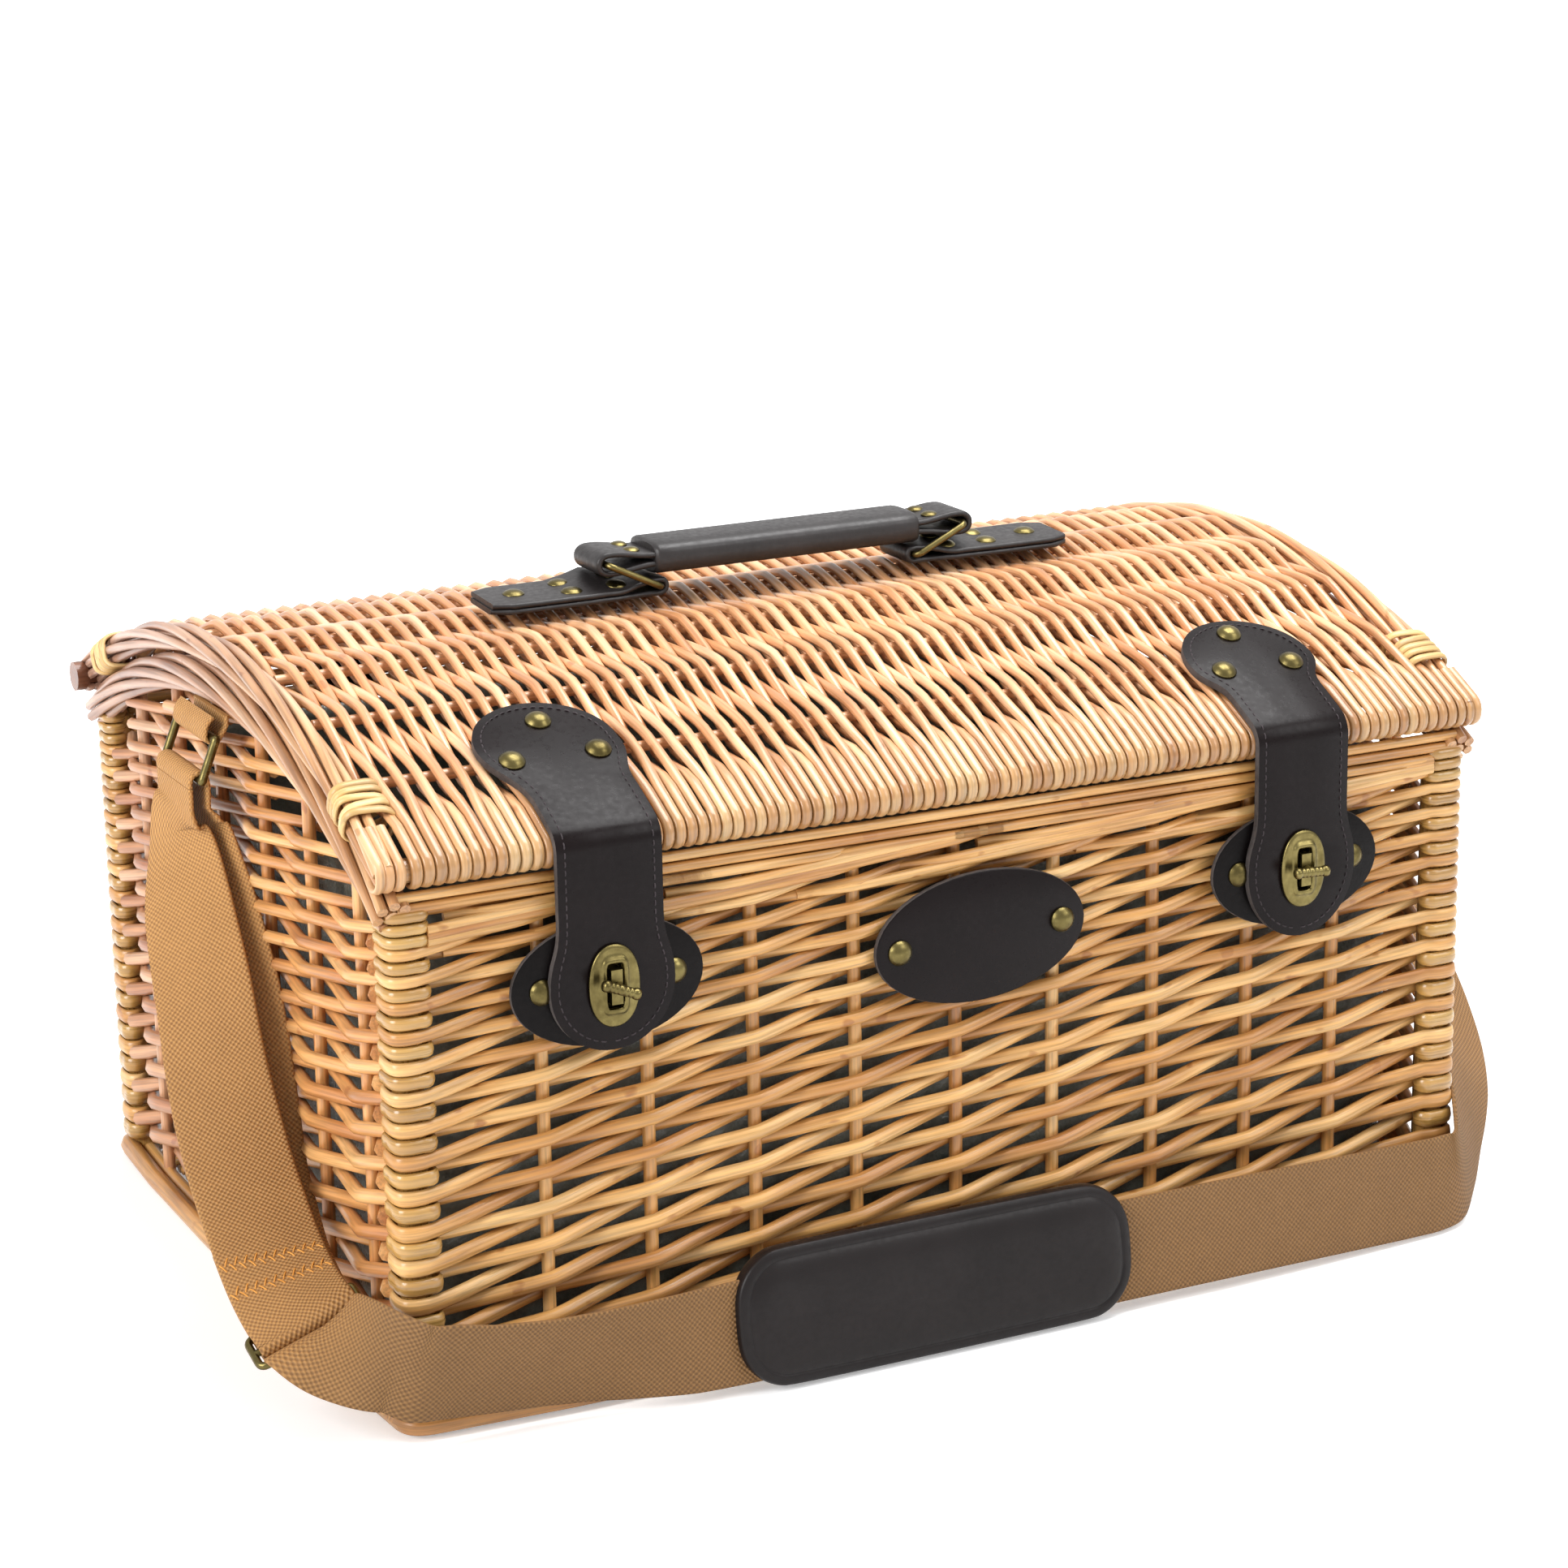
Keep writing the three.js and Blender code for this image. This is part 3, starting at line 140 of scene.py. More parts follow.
class NodeTree:
    """Short calls for laying nodes in a material or a group."""

    def __init__(self, tree: bpy.types.NodeTree) -> None:
        """Keeps the tree that takes the nodes."""
        self.tree = tree

    def add(self, kind: str, inputs: dict | None = None, **settings) -> Node:
        """Adds a node.

        Args:
            kind: the node's type name.
            inputs: socket name or number to a value or an output socket.
            settings: node properties.
        Returns:
            The node.
        """
        node = self.tree.nodes.new(kind)
        for key, value in settings.items():
            setattr(node, key, value)
        for key, value in (inputs or {}).items():
            self.feed(node.inputs[key], value)
        return node

    def feed(self, socket: NodeSocket, value: Value) -> None:
        """Links or sets one input."""
        if isinstance(value, NodeSocket):
            self.tree.links.new(value, socket)
        else:
            socket.default_value = value

    def math(self, operation: str, first: Value, second: Value = 0.0) -> NodeSocket:
        """Returns the output of a Math node."""
        return self.add("ShaderNodeMath", {0: first, 1: second}, operation=operation).outputs[0]

    def spread(
        self, value: Value, low: float, high: float, first: float = 0.0, last: float = 1.0
    ) -> NodeSocket:
        """Returns value mapped from low..high to first..last, clamped."""
        inputs = {"Value": value, "From Min": low, "From Max": high, "To Min": first, "To Max": last}
        return self.add("ShaderNodeMapRange", inputs).outputs[0]

    def mix(self, factor: Value, first: Value, second: Value) -> NodeSocket:
        """Returns the colour between first and second."""
        inputs = {0: factor, 6: as_colour(first), 7: as_colour(second)}
        return self.add("ShaderNodeMix", inputs, data_type="RGBA").outputs[2]

    def noise(self, vector: Value, scale: float, detail: float = 2.0) -> NodeSocket:
        """Returns a noise value at vector times scale."""
        inputs = {"Vector": vector, "Scale": scale, "Detail": detail}
        return self.add("ShaderNodeTexNoise", inputs).outputs[0]

    def vector(self, operation: str, inputs: dict, output: int | str = 0) -> NodeSocket:
        """Returns one output of a Vector Math node."""
        return self.add("ShaderNodeVectorMath", inputs, operation=operation).outputs[output]

    def parts(self, vector: Value) -> Sequence[NodeSocket]:
        """Returns the x, y and z of a vector."""
        return self.add("ShaderNodeSeparateXYZ", {0: vector}).outputs

    def place(self) -> NodeSocket:
        """Returns the Object coordinates."""
        return self.add("ShaderNodeTexCoord").outputs["Object"]

    def attribute(self, name: str, output: str) -> NodeSocket:
        """Returns one output of a mesh attribute."""
        return self.add("ShaderNodeAttribute", attribute_name=name).outputs[output]

    def bump(self, height: Value, strength: float, distance: float) -> NodeSocket:
        """Returns a normal raised by height, distance in metres."""
        inputs = {"Height": height, "Strength": strength, "Distance": distance}
        return self.add("ShaderNodeBump", inputs).outputs[0]

    def looked_at(self) -> NodeSocket:
        """Returns 1 for what the camera sees, also mirrored or through glass, and 0 for what gives light."""
        path = self.add("ShaderNodeLightPath")
        seen = self.math("MAXIMUM", path.outputs["Is Camera Ray"], path.outputs["Is Transmission Ray"])
        return self.math("MAXIMUM", seen, path.outputs["Is Glossy Ray"])


def new_group(name: str, outputs: Sequence[str]) -> tuple[bpy.types.NodeTree, NodeTree, Node]:
    """Starts a node group with float outputs, and returns it with its tree and output node."""
    group = bpy.data.node_groups.new(name, "ShaderNodeTree")
    for output in outputs:
        group.interface.new_socket(output, in_out="OUTPUT", socket_type="NodeSocketFloat")
    tree = NodeTree(group)
    return group, tree, tree.add("NodeGroupOutput")


def rod_grain() -> bpy.types.NodeTree:
    """Returns the group of the streaks, blotches and knots along a rod."""
    if "rod_grain" in bpy.data.node_groups:
        return bpy.data.node_groups["rod_grain"]
    group, tree, out = new_group("rod_grain", ("Tone", "Streak", "Height"))
    lay = tree.attribute("lay", "Vector")
    tint = tree.attribute("tint", "Fac")
    shift = tree.add("ShaderNodeCombineXYZ", {2: tree.math("MULTIPLY", tint, 83.0)}).outputs[0]
    scales = ((90.0, 16.0, 2.0), (900.0, 36.0, 3.0), (160.0, 90.0, 1.0))
    blotch, streak, knots = (
        tree.noise(tree.vector("MULTIPLY_ADD", {0: lay, 1: (across, across, along), 2: shift}), 1.0, detail)
        for across, along, detail in scales
    )
    tone = tree.math("ADD", tree.math("MULTIPLY", tint, 0.46), tree.spread(blotch, 0.3, 0.7, -0.1, 0.44))
    knot = tree.spread(knots, 0.70, 0.78, 0.0, 0.5)
    tree.feed(out.inputs["Tone"], tree.math("SUBTRACT", tone, knot))
    tree.feed(out.inputs["Streak"], streak)
    tree.feed(out.inputs["Height"], tree.math("ADD", streak, tree.math("MULTIPLY", blotch, 1.5)))
    return group


def hide_grain() -> bpy.types.NodeTree:
    """Returns the group of the fine pebbling, mottling and rubbing of leather and metal."""
    if "hide_grain" in bpy.data.node_groups:
        return bpy.data.node_groups["hide_grain"]
    group, tree, out = new_group("hide_grain", ("Tone", "Rub", "Height"))
    place = tree.place()
    broad = tree.noise(place, 45.0, 3.0)
    fine = tree.noise(place, 420.0, 4.0)
    pebbles = tree.add("ShaderNodeTexVoronoi", {"Vector": place, "Scale": 900.0}).outputs["Distance"]
    mottle = tree.math("ADD", broad, tree.math("MULTIPLY", fine, 0.5))
    tree.feed(out.inputs["Tone"], tree.spread(mottle, 0.5, 1.0))
    tree.feed(out.inputs["Rub"], tree.spread(fine, 0.35, 0.7))
    tree.feed(out.inputs["Height"], tree.math("ADD", tree.math("MULTIPLY", pebbles, 0.6), fine))
    return group


@dataclass(frozen=True)
class WillowFinish:
    """Colours of one lot of varnished willow rods.

    Attributes:
        painted_shade_span: from where to where in y, in metres, the rods take on the painted shade.
        tint: what their colour is multiplied by there, darker and on the ends also pinker, as painted shade.
    """

    name: str
    dark: Colour
    middle: Colour
    pale: Colour
    roughness: float = 0.36
    coat: float = 0.25
    painted_shade_span: Flat = (0.0, 1.0)
    tint: Colour = (1.0, 1.0, 1.0)
    slot: Slot = Slot.WILLOW

    def lay(self, tree: NodeTree, surface: Node) -> None:
        """Lays three tones, streaks along the rod and a painted shade across the basket."""
        tone, streak, height = tree.add("ShaderNodeGroup", node_tree=rod_grain()).outputs
        low = tree.mix(tree.spread(tone, 0.0, 0.5), self.dark, self.middle)
        base = tree.mix(tree.spread(tone, 0.45, 1.0), low, self.pale)
        shade = tree.vector("SCALE", {0: base, 3: tree.spread(streak, 0.35, 0.6, 0.72, 1.06)})
        across = tree.parts(tree.place())[1]
        # painted shade across y: colour multiplied by tint, darker towards the lid's front edge and the ends'
        # backs
        tint = tree.mix(tree.spread(across, *self.painted_shade_span), (1.0, 1.0, 1.0), self.tint)
        tree.feed(surface.inputs["Base Color"], tree.vector("MULTIPLY", {0: shade, 1: tint}))
        rough = tree.spread(streak, 0.2, 0.8, self.roughness - 0.06, self.roughness + 0.12)
        tree.feed(surface.inputs["Roughness"], rough)
        surface.inputs["Coat Weight"].default_value = self.coat
        surface.inputs["Coat Roughness"].default_value = 0.18
        tree.feed(surface.inputs["Normal"], tree.bump(height, 0.35, 0.0004))


@dataclass(frozen=True)
class PlainFinish:
    """Two colours, gloss and relief of leather, metal, thread or lining."""

    name: str
    low: Colour
    high: Colour
    roughness: float
    relief: float
    specular: float
    metallic: float = 0.0
    slot: Slot = Slot.LEATHER

    def lay(self, tree: NodeTree, surface: Node) -> None:
        """Lays a mottled and rubbed face."""
        tone, rub, height = tree.add("ShaderNodeGroup", node_tree=hide_grain()).outputs
        tree.feed(surface.inputs["Base Color"], tree.mix(tone, self.low, self.high))
        rough = tree.spread(rub, 0.0, 1.0, self.roughness + 0.09, self.roughness - 0.05)
        tree.feed(surface.inputs["Roughness"], rough)
        surface.inputs["Metallic"].default_value = self.metallic
        surface.inputs["Specular IOR Level"].default_value = self.specular
        tree.feed(surface.inputs["Normal"], tree.bump(height, self.relief, 0.0003))


@dataclass(frozen=True)
class WebbingFinish(PlainFinish):
    """Webbing darker at the front and the right as painted shade, and lighter at the top as a painted
    highlight.

    Attributes:
        pitch: from thread to thread, in metres.
        front: start and end in y, and the painted shade at each.
        right: the same in x.
        top: the same in z, a painted highlight.
    """

    slot: Slot = Slot.WEBBING
    pitch: float = 0.0021
    front: tuple[float, ...] = (-0.176, -0.14, 0.58, 1.0)
    right: tuple[float, ...] = (0.222, 0.244, 1.0, 0.72)
    top: tuple[float, ...] = (0.10, 0.20, 1.0, 1.25)

    def lay(self, tree: NodeTree, surface: Node) -> None:
        """Lays crossing threads, fuzz and wear, with painted shade and highlight by place."""
        lay = tree.attribute("lay", "Vector")
        ways = tree.parts(lay)
        turns = 2.0 * math.pi / self.pitch
        warp, weft = (tree.math("SINE", tree.math("MULTIPLY", ways[axis], turns)) for axis in (0, 2))
        fuzz = tree.noise(lay, 1600.0, 3.0)
        wear = tree.noise(lay, 70.0, 3.0)
        lift = tree.math("ADD", tree.math("MULTIPLY", warp, weft), tree.math("MULTIPLY", fuzz, 0.7))
        relief, patches = tree.spread(lift, -0.5, 1.2, 0.05, 0.85), tree.spread(wear, 0.3, 0.7, -0.03, 0.05)
        thread = tree.mix(tree.math("ADD", relief, patches), self.low, self.high)
        place = tree.parts(tree.place())
        # painted shade at the front and the right, painted highlight at the top
        for axis, painted_light_zone in ((1, self.front), (0, self.right), (2, self.top)):
            thread = tree.vector("SCALE", {0: thread, 3: tree.spread(place[axis], *painted_light_zone)})
        tree.feed(surface.inputs["Base Color"], thread)
        surface.inputs["Roughness"].default_value = self.roughness
        tree.feed(surface.inputs["Normal"], tree.bump(lift, self.relief, 0.0006))


Finish = Union[WillowFinish, PlainFinish]


def material_of(finish: Finish) -> Material:
    """Returns a finish's material, made on its first use."""
    material = bpy.data.materials.get(finish.name)
    if material is None:
        material = bpy.data.materials.new(finish.name)
        material.use_nodes = True
        finish.lay(NodeTree(material.node_tree), material.node_tree.nodes["Principled BSDF"])
    return material


BODY_WILLOW = WillowFinish("willow_body", (0.42, 0.175, 0.045), (0.665, 0.35, 0.107), (0.87, 0.58, 0.255))
# painted shade: darker and yellower towards the lid's front edge
LID_WILLOW = WillowFinish(
    "willow_lid", (0.53, 0.225, 0.085), (0.79, 0.43, 0.212), (0.91, 0.625, 0.38), 0.31, 0.55,
    (-0.140, -0.172), (0.66, 0.67, 0.54),
)
# painted shade: darker and pinker towards the back of the end walls
END_WILLOW = WillowFinish(
    "willow_end", (0.44, 0.165, 0.05), (0.72, 0.355, 0.118), (0.88, 0.56, 0.25), 0.36, 0.3,
    (-0.02, 0.13), (0.84, 0.88, 1.35),
)
# painted shade: darker and pinker towards the back of the end borders and the left lid hoop
BORDER_WILLOW = WillowFinish(
    "willow_border", (0.38, 0.17, 0.07), (0.62, 0.345, 0.155), (0.78, 0.52, 0.29), 0.36, 0.3,
    (-0.12, 0.08), (0.80, 0.85, 1.3),
)
CORNER_WILLOW = WillowFinish(
    "willow_corner", (0.40, 0.21, 0.055), (0.51, 0.285, 0.076), (0.62, 0.40, 0.13), 0.27, 0.5,
)
RAIL_WILLOW = WillowFinish(
    "willow_rail", (0.12, 0.04, 0.018), (0.24, 0.09, 0.04), (0.38, 0.18, 0.09), 0.36, 0.3,
)
SKEIN = WillowFinish("willow_skein", (0.50, 0.29, 0.09), (0.70, 0.46, 0.18), (0.83, 0.62, 0.30), 0.42)
STRAP_LEATHER = PlainFinish(
    "leather_strap", (0.0048, 0.0027, 0.0028), (0.0078, 0.0047, 0.0049), 0.29, 0.05, 0.12,
)
PATCH_LEATHER = PlainFinish(
    "leather_patch", (0.003, 0.0022, 0.0022), (0.0065, 0.0048, 0.0047), 0.36, 0.2, 0.09,
)
# painted reflection: lighter base colour than the strap leather, standing in for the top light on the handle
LIT_HANDLE_LEATHER = PlainFinish("leather_handle_lit", (0.011, 0.009, 0.009), (0.024, 0.02, 0.02), 0.38, 0.15, 0.38)
# painted sheen: lighter base colour than the strap leather, standing in for the pad's soft sheen
SHEEN_PAD_LEATHER = PlainFinish("leather_pad_sheen", (0.007, 0.005, 0.005), (0.012, 0.009, 0.009), 0.36, 0.08, 0.2)
RAW_EDGE = PlainFinish("leather_edge", (0.035, 0.030, 0.029), (0.095, 0.082, 0.078), 0.62, 0.35, 0.2)
# aged brass colour, darkened further as painted shade taken from the shaded hasp
BRASS = PlainFinish(
    "brass_aged_and_shaded", (0.07, 0.054, 0.019), (0.185, 0.15, 0.057), 0.30, 0.03, 0.5, 1.0, Slot.BRASS
)
WEB_THREAD = WebbingFinish("webbing_thread", (0.21, 0.096, 0.028), (0.545, 0.282, 0.089), 0.72, 0.6, 0.3)
PALE_STITCH = PlainFinish("stitch_grey", (0.026, 0.02, 0.022), (0.055, 0.043, 0.047), 0.6, 0.3, 0.2)
ORANGE_STITCH = PlainFinish(
    "stitch_orange", (0.55, 0.22, 0.035), (0.75, 0.36, 0.08), 0.55, 0.3, 0.3, slot=Slot.WEBBING,
)
LINING = PlainFinish(
    "lining_dark", (0.06, 0.068, 0.056), (0.22, 0.23, 0.195), 0.28, 0.6, 0.5, slot=Slot.LINING,
)


# Lines, outlines and meshes


def unit(vectors: Points) -> Points:
    """Returns vectors at length one."""
    return vectors / np.linalg.norm(vectors, axis=-1, keepdims=True)


def columns(*parts: Points | float) -> Points:
    """Returns points from their coordinates, each a list or one value for all."""
    return np.stack(np.broadcast_arrays(*(np.asarray(part, float) for part in parts)), axis=-1)


def distances(line: Points) -> Points:
    """Returns how far along a line each of its points is."""
    return np.append(0.0, np.cumsum(np.linalg.norm(np.diff(line, axis=0), axis=1)))


def superellipse(angles: Points, power: float) -> tuple[Points, Points]:
    """Returns the two coordinates of a superellipse of half width one at angles."""
    waves = (np.round(np.cos(angles), 9), np.round(np.sin(angles), 9))
    across, up = (np.sign(wave) * np.abs(wave) ** (2.0 / power) for wave in waves)
    return across, up


def smooth_line(points: Sequence[Sequence[float]], steps: int, closed: bool = False) -> Points:
    """Draws a centripetal Catmull-Rom line through points.

    Args:
        points: the corners, of any dimension.
        steps: samples per stretch.
        closed: whether the line runs back to its first point.
    Returns:
        The samples, ending on the last point, or before the first where closed.
    """
    given = np.asarray(points, float)
    if closed:
        padded = np.vstack([given[-1:], given, given[:2]])
    else:
        padded = np.vstack([2 * given[:1] - given[1:2], given, 2 * given[-1:] - given[-2:-1]])
    samples = []
    for index in range(1, len(padded) - 2):
        before, start, end, after = padded[index - 1:index + 3]
        stretches = ((before, start), (start, end), (end, after))
        gaps = [max(np.linalg.norm(b - a) ** 0.5, 1e-4) for a, b in stretches]
        leave = (start - before) / gaps[0] - (end - before) / (gaps[0] + gaps[1]) + (end - start) / gaps[1]
        arrive = (end - start) / gaps[1] - (after - start) / (gaps[1] + gaps[2]) + (after - end) / gaps[2]
        for step in range(steps):
            t = step / steps
            samples.append(
                start * (2 * t**3 - 3 * t**2 + 1)
                + leave * gaps[1] * (t**3 - 2 * t**2 + t)
                + end * (3 * t**2 - 2 * t**3)
                + arrive * gaps[1] * (t**3 - t**2)
            )
    if not closed:
        samples.append(given[-1])
    return np.array(samples)


def weave_wave(t: Points | float, sharpness: float = 0.982) -> Points:
    """Returns a wave from 1 at t 0 to -1 at t 1, nearly straight between."""
    return np.arcsin(sharpness * np.cos(np.pi * np.asarray(t))) / math.asin(sharpness)


def over_or_under(number: int) -> float:
    """Returns 1 where an even crossing lies outside and -1 where an odd one lies inside."""
    return 1.0 if number % 2 == 0 else -1.0


def rounded_rectangle(low: Flat, high: Flat, corner: float, steps: int = 6) -> list[Flat]:
    """Draws a rectangle with round corners.

    Args:
        low: its least corner.
        high: its greatest corner.
        corner: radius of its corners.
        steps: points on each corner.
    Returns:
        The closed outline, from the greatest corner on.
    """
    near, far = np.array(low) + corner, np.array(high) - corner
    outline = []
    for quarter, middle in enumerate((far, (near[0], far[1]), near, (far[0], near[1]))):
        for angle in np.linspace(quarter, quarter + 1, steps) * math.pi / 2:
            outline.append((middle[0] + corner * math.cos(angle), middle[1] + corner * math.sin(angle)))
    return outline


def rounded_box(size: Triple, axis: int, radius: float, segments: int) -> BMesh:
    """Makes a box round the origin with the edges along one axis rounded.

    Args:
        size: its sides in mm.
        axis: the axis of the rounded edges.
        radius: their radius.
        segments: faces on each of them.
    Returns:
        The open bmesh, in mm.
    """
    shell = bmesh.new()
    bmesh.ops.create_cube(shell, size=1.0)
    bmesh.ops.scale(shell, vec=size, verts=shell.verts)
    edges = [edge for edge in shell.edges if abs(edge.verts[0].co[axis] - edge.verts[1].co[axis]) > 1.0]
    bmesh.ops.bevel(
        shell, geom=edges, offset=radius, offset_type="OFFSET", affect="EDGES",
        segments=segments, profile=0.5, material=-1,
    )
    return shell


def shade_smooth(shell: BMesh) -> None:
    """Makes every face of a bmesh smooth."""
    for face in shell.faces:
        face.smooth = True


class Bundle:
    """Rods, bands, ribbons and wires that make one piece."""

    def __init__(self, name: str, seed: int = 1) -> None:
        """Starts an empty bundle with its own random draws."""
        self.name = name
        self.chance = random.Random(seed)
        self.grids: list[Points] = []
        self.lays: list[Points] = []
        self.tints: list[Points] = []

    def run(
        self,
        points: Points,
        out: Points | Sequence[float],
        wide: Points | float,
        thick: Points | float | None = None,
        section: Section = Section.ROUND,
        sides: int = 8,
        closed: bool = False,
        tint: float | None = None,
    ) -> None:
        """Adds one run along points.

        Args:
            points: its middle line, in mm.
            out: the direction of its thickness, one or one per point.
            wide: its width across, one or one per point.
            thick: its thickness, or its width where None.
            section: how square its section is.
            sides: corners of its section.
            closed: whether it is a ring.
            tint: its shade from 0 to 1, or a random one.
        """
        line = np.asarray(points, float)
        facing = np.broadcast_to(np.asarray(out, float), line.shape)
        width = np.broadcast_to(np.asarray(wide, float), len(line))
        depth = width if thick is None else np.broadcast_to(np.asarray(thick, float), len(line))
        if closed:
            line, facing = np.vstack([line, line[:1]]), np.vstack([facing, facing[:1]])
            width, depth = np.append(width, width[0]), np.append(depth, depth[0])
        along = np.gradient(line, axis=0)
        if closed:
            along[0] = along[-1] = line[1] - line[-2]
        along = unit(along)
        normal = unit(facing - along * np.sum(facing * along, axis=1, keepdims=True))
        across = np.cross(along, normal)
        angles = np.linspace(0.0, 2.0 * np.pi, sides + 1)
        angles[-1] = 0.0
        side, lift = superellipse(angles, section.value)
        shift_x = width[:, None] / 2 * side
        shift_y = depth[:, None] / 2 * lift
        grid = line[:, None] + across[:, None] * shift_x[..., None] + normal[:, None] * shift_y[..., None]
        reach = np.broadcast_to(distances(line)[:, None], shift_x.shape)
        self.grid(grid, np.stack([shift_x, shift_y, reach], axis=-1), tint)

    def ribbon(
        self, points: Points, out: Points, wide: Points | float, thick: float, closed: bool = False
    ) -> None:
        """Adds a flat strap of an even shade along points."""
        self.run(points, out, wide, thick, Section.STRAP, RIBBON_SIDES, closed, 0.5)

    def wire(self, points: Points, out: Points | Sequence[float], size: float, closed: bool = True) -> None:
        """Adds a round wire of an even shade along points."""
        self.run(points, out, size, sides=12, closed=closed, tint=0.5)

    def grid(self, grid: Points, lay: Points | None = None, tint: float | None = None) -> None:
        """Adds a lofted grid.

        Args:
            grid: its rows and columns in mm, the last column on the first.
            lay: each point's place on the unrolled run, or the point itself where None.
            tint: its shade from 0 to 1, or a random one.
        """
        shade = self.chance.random() if tint is None else tint
        self.grids.append(grid)
        self.lays.append((grid if lay is None else lay).reshape(-1, 3) * MM)
        self.tints.append(np.full(grid.shape[0] * grid.shape[1], shade))

    def stud(self, base: Sequence[float], out: Sequence[float], profile: Outline) -> None:
        """Adds a turned stud.

        Args:
            base: the middle of its foot.
            out: the direction it stands in.
            profile: (height, radius) from foot to top.
        """
        stand = unit(np.asarray(out, float))
        side = (0.0, 0.0, 1.0) if abs(stand[2]) < 0.8 else (1.0, 0.0, 0.0)
        heights, radii = np.array(profile).T
        self.run(np.asarray(base, float) + heights[:, None] * stand, side, radii * 2, sides=20, tint=0.5)

    def build(self, finish: Finish, body: str = "", *nodes: str) -> Object:
        """Makes the piece, its ends closed and its seams merged.

        Args:
            finish: its finish.
            body: the body that it rides on, or none to leave it unattached.
            nodes: the nodes that it stands for.
        Returns:
            The piece.
        """
        shell = bmesh.new()
        for grid in self.grids:
            rows, corners = grid.shape[:2]
            bmesh.ops.create_grid(shell, x_segments=corners - 1, y_segments=rows - 1, size=1.0)
        mesh = bpy.data.meshes.new(self.name)
        shell.to_mesh(mesh)
        shell.free()
        places = np.concatenate([grid.reshape(-1, 3) for grid in self.grids]) * MM
        mesh.vertices.foreach_set("co", places.astype(np.float32).ravel())
        lay = mesh.attributes.new("lay", "FLOAT_VECTOR", "POINT")
        lay.data.foreach_set("vector", np.concatenate(self.lays).astype(np.float32).ravel())
        tint = mesh.attributes.new("tint", "FLOAT", "POINT")
        tint.data.foreach_set("value", np.concatenate(self.tints).astype(np.float32))
        shell = bmesh.new()
        shell.from_mesh(mesh)
        bmesh.ops.remove_doubles(shell, verts=shell.verts, dist=2e-7)
        rims = [edge for edge in shell.edges if edge.is_boundary]
        caps = bmesh.ops.holes_fill(shell, edges=rims, sides=0)["faces"]
        bmesh.ops.recalc_face_normals(shell, faces=shell.faces)
        shade_smooth(shell)
        for face in caps:
            for edge in face.edges:
                edge.smooth = False
        piece = piece_of(self.name, shell, (material_of(finish),), mesh)
        return register(piece, body, finish.slot, *nodes) if body else piece


def piece_of(
    name: str,
    shell: BMesh,
    materials: Iterable[Material],
    mesh: Mesh | None = None,
) -> Object:
    """Puts a finished bmesh in the scene.

    Args:
        name: the piece's name.
        shell: the bmesh, freed here.
        materials: its material slots.
        mesh: the mesh that takes it, or None for a new one.
    Returns:
        The object, at the origin.
    """
    target = mesh or bpy.data.meshes.new(name)
    shell.to_mesh(target)
    shell.free()
    for material in materials:
        target.materials.append(material)
    piece = bpy.data.objects.new(name, target)
    bpy.context.scene.collection.objects.link(piece)
    LOG.info("%s: %d faces", name, len(target.polygons))
    return piece


def register(piece: Object, body: str, slot: Slot, *nodes: str) -> Object:
    """Attaches a piece to its body and hides the nodes that it stands for.

    Args:
        piece: the piece.
        body: the body that it rides on.
        slot: its material slot, not used.
        nodes: the nodes that it stands for.
    Returns:
        The piece.
    """
    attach(piece, body)
    if nodes:
        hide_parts(*nodes)
    return piece


# Camera, light and floor


@dataclass(frozen=True)
class Lamp:
    """One soft square lamp, in metres and watts."""

    name: str
    place: Triple
    target: Triple
    size: float
    power: float

    def build(self) -> None:
        """Hangs the lamp, turned to its target."""
        data = bpy.data.lights.new(self.name, "AREA")
        data.size = self.size
        data.energy = self.power
        lamp = bpy.data.objects.new(self.name, data)
        lamp.location = self.place
        lamp.rotation_euler = (Vector(self.target) - Vector(self.place)).to_track_quat("-Z", "Y").to_euler()
        bpy.context.scene.collection.objects.link(lamp)


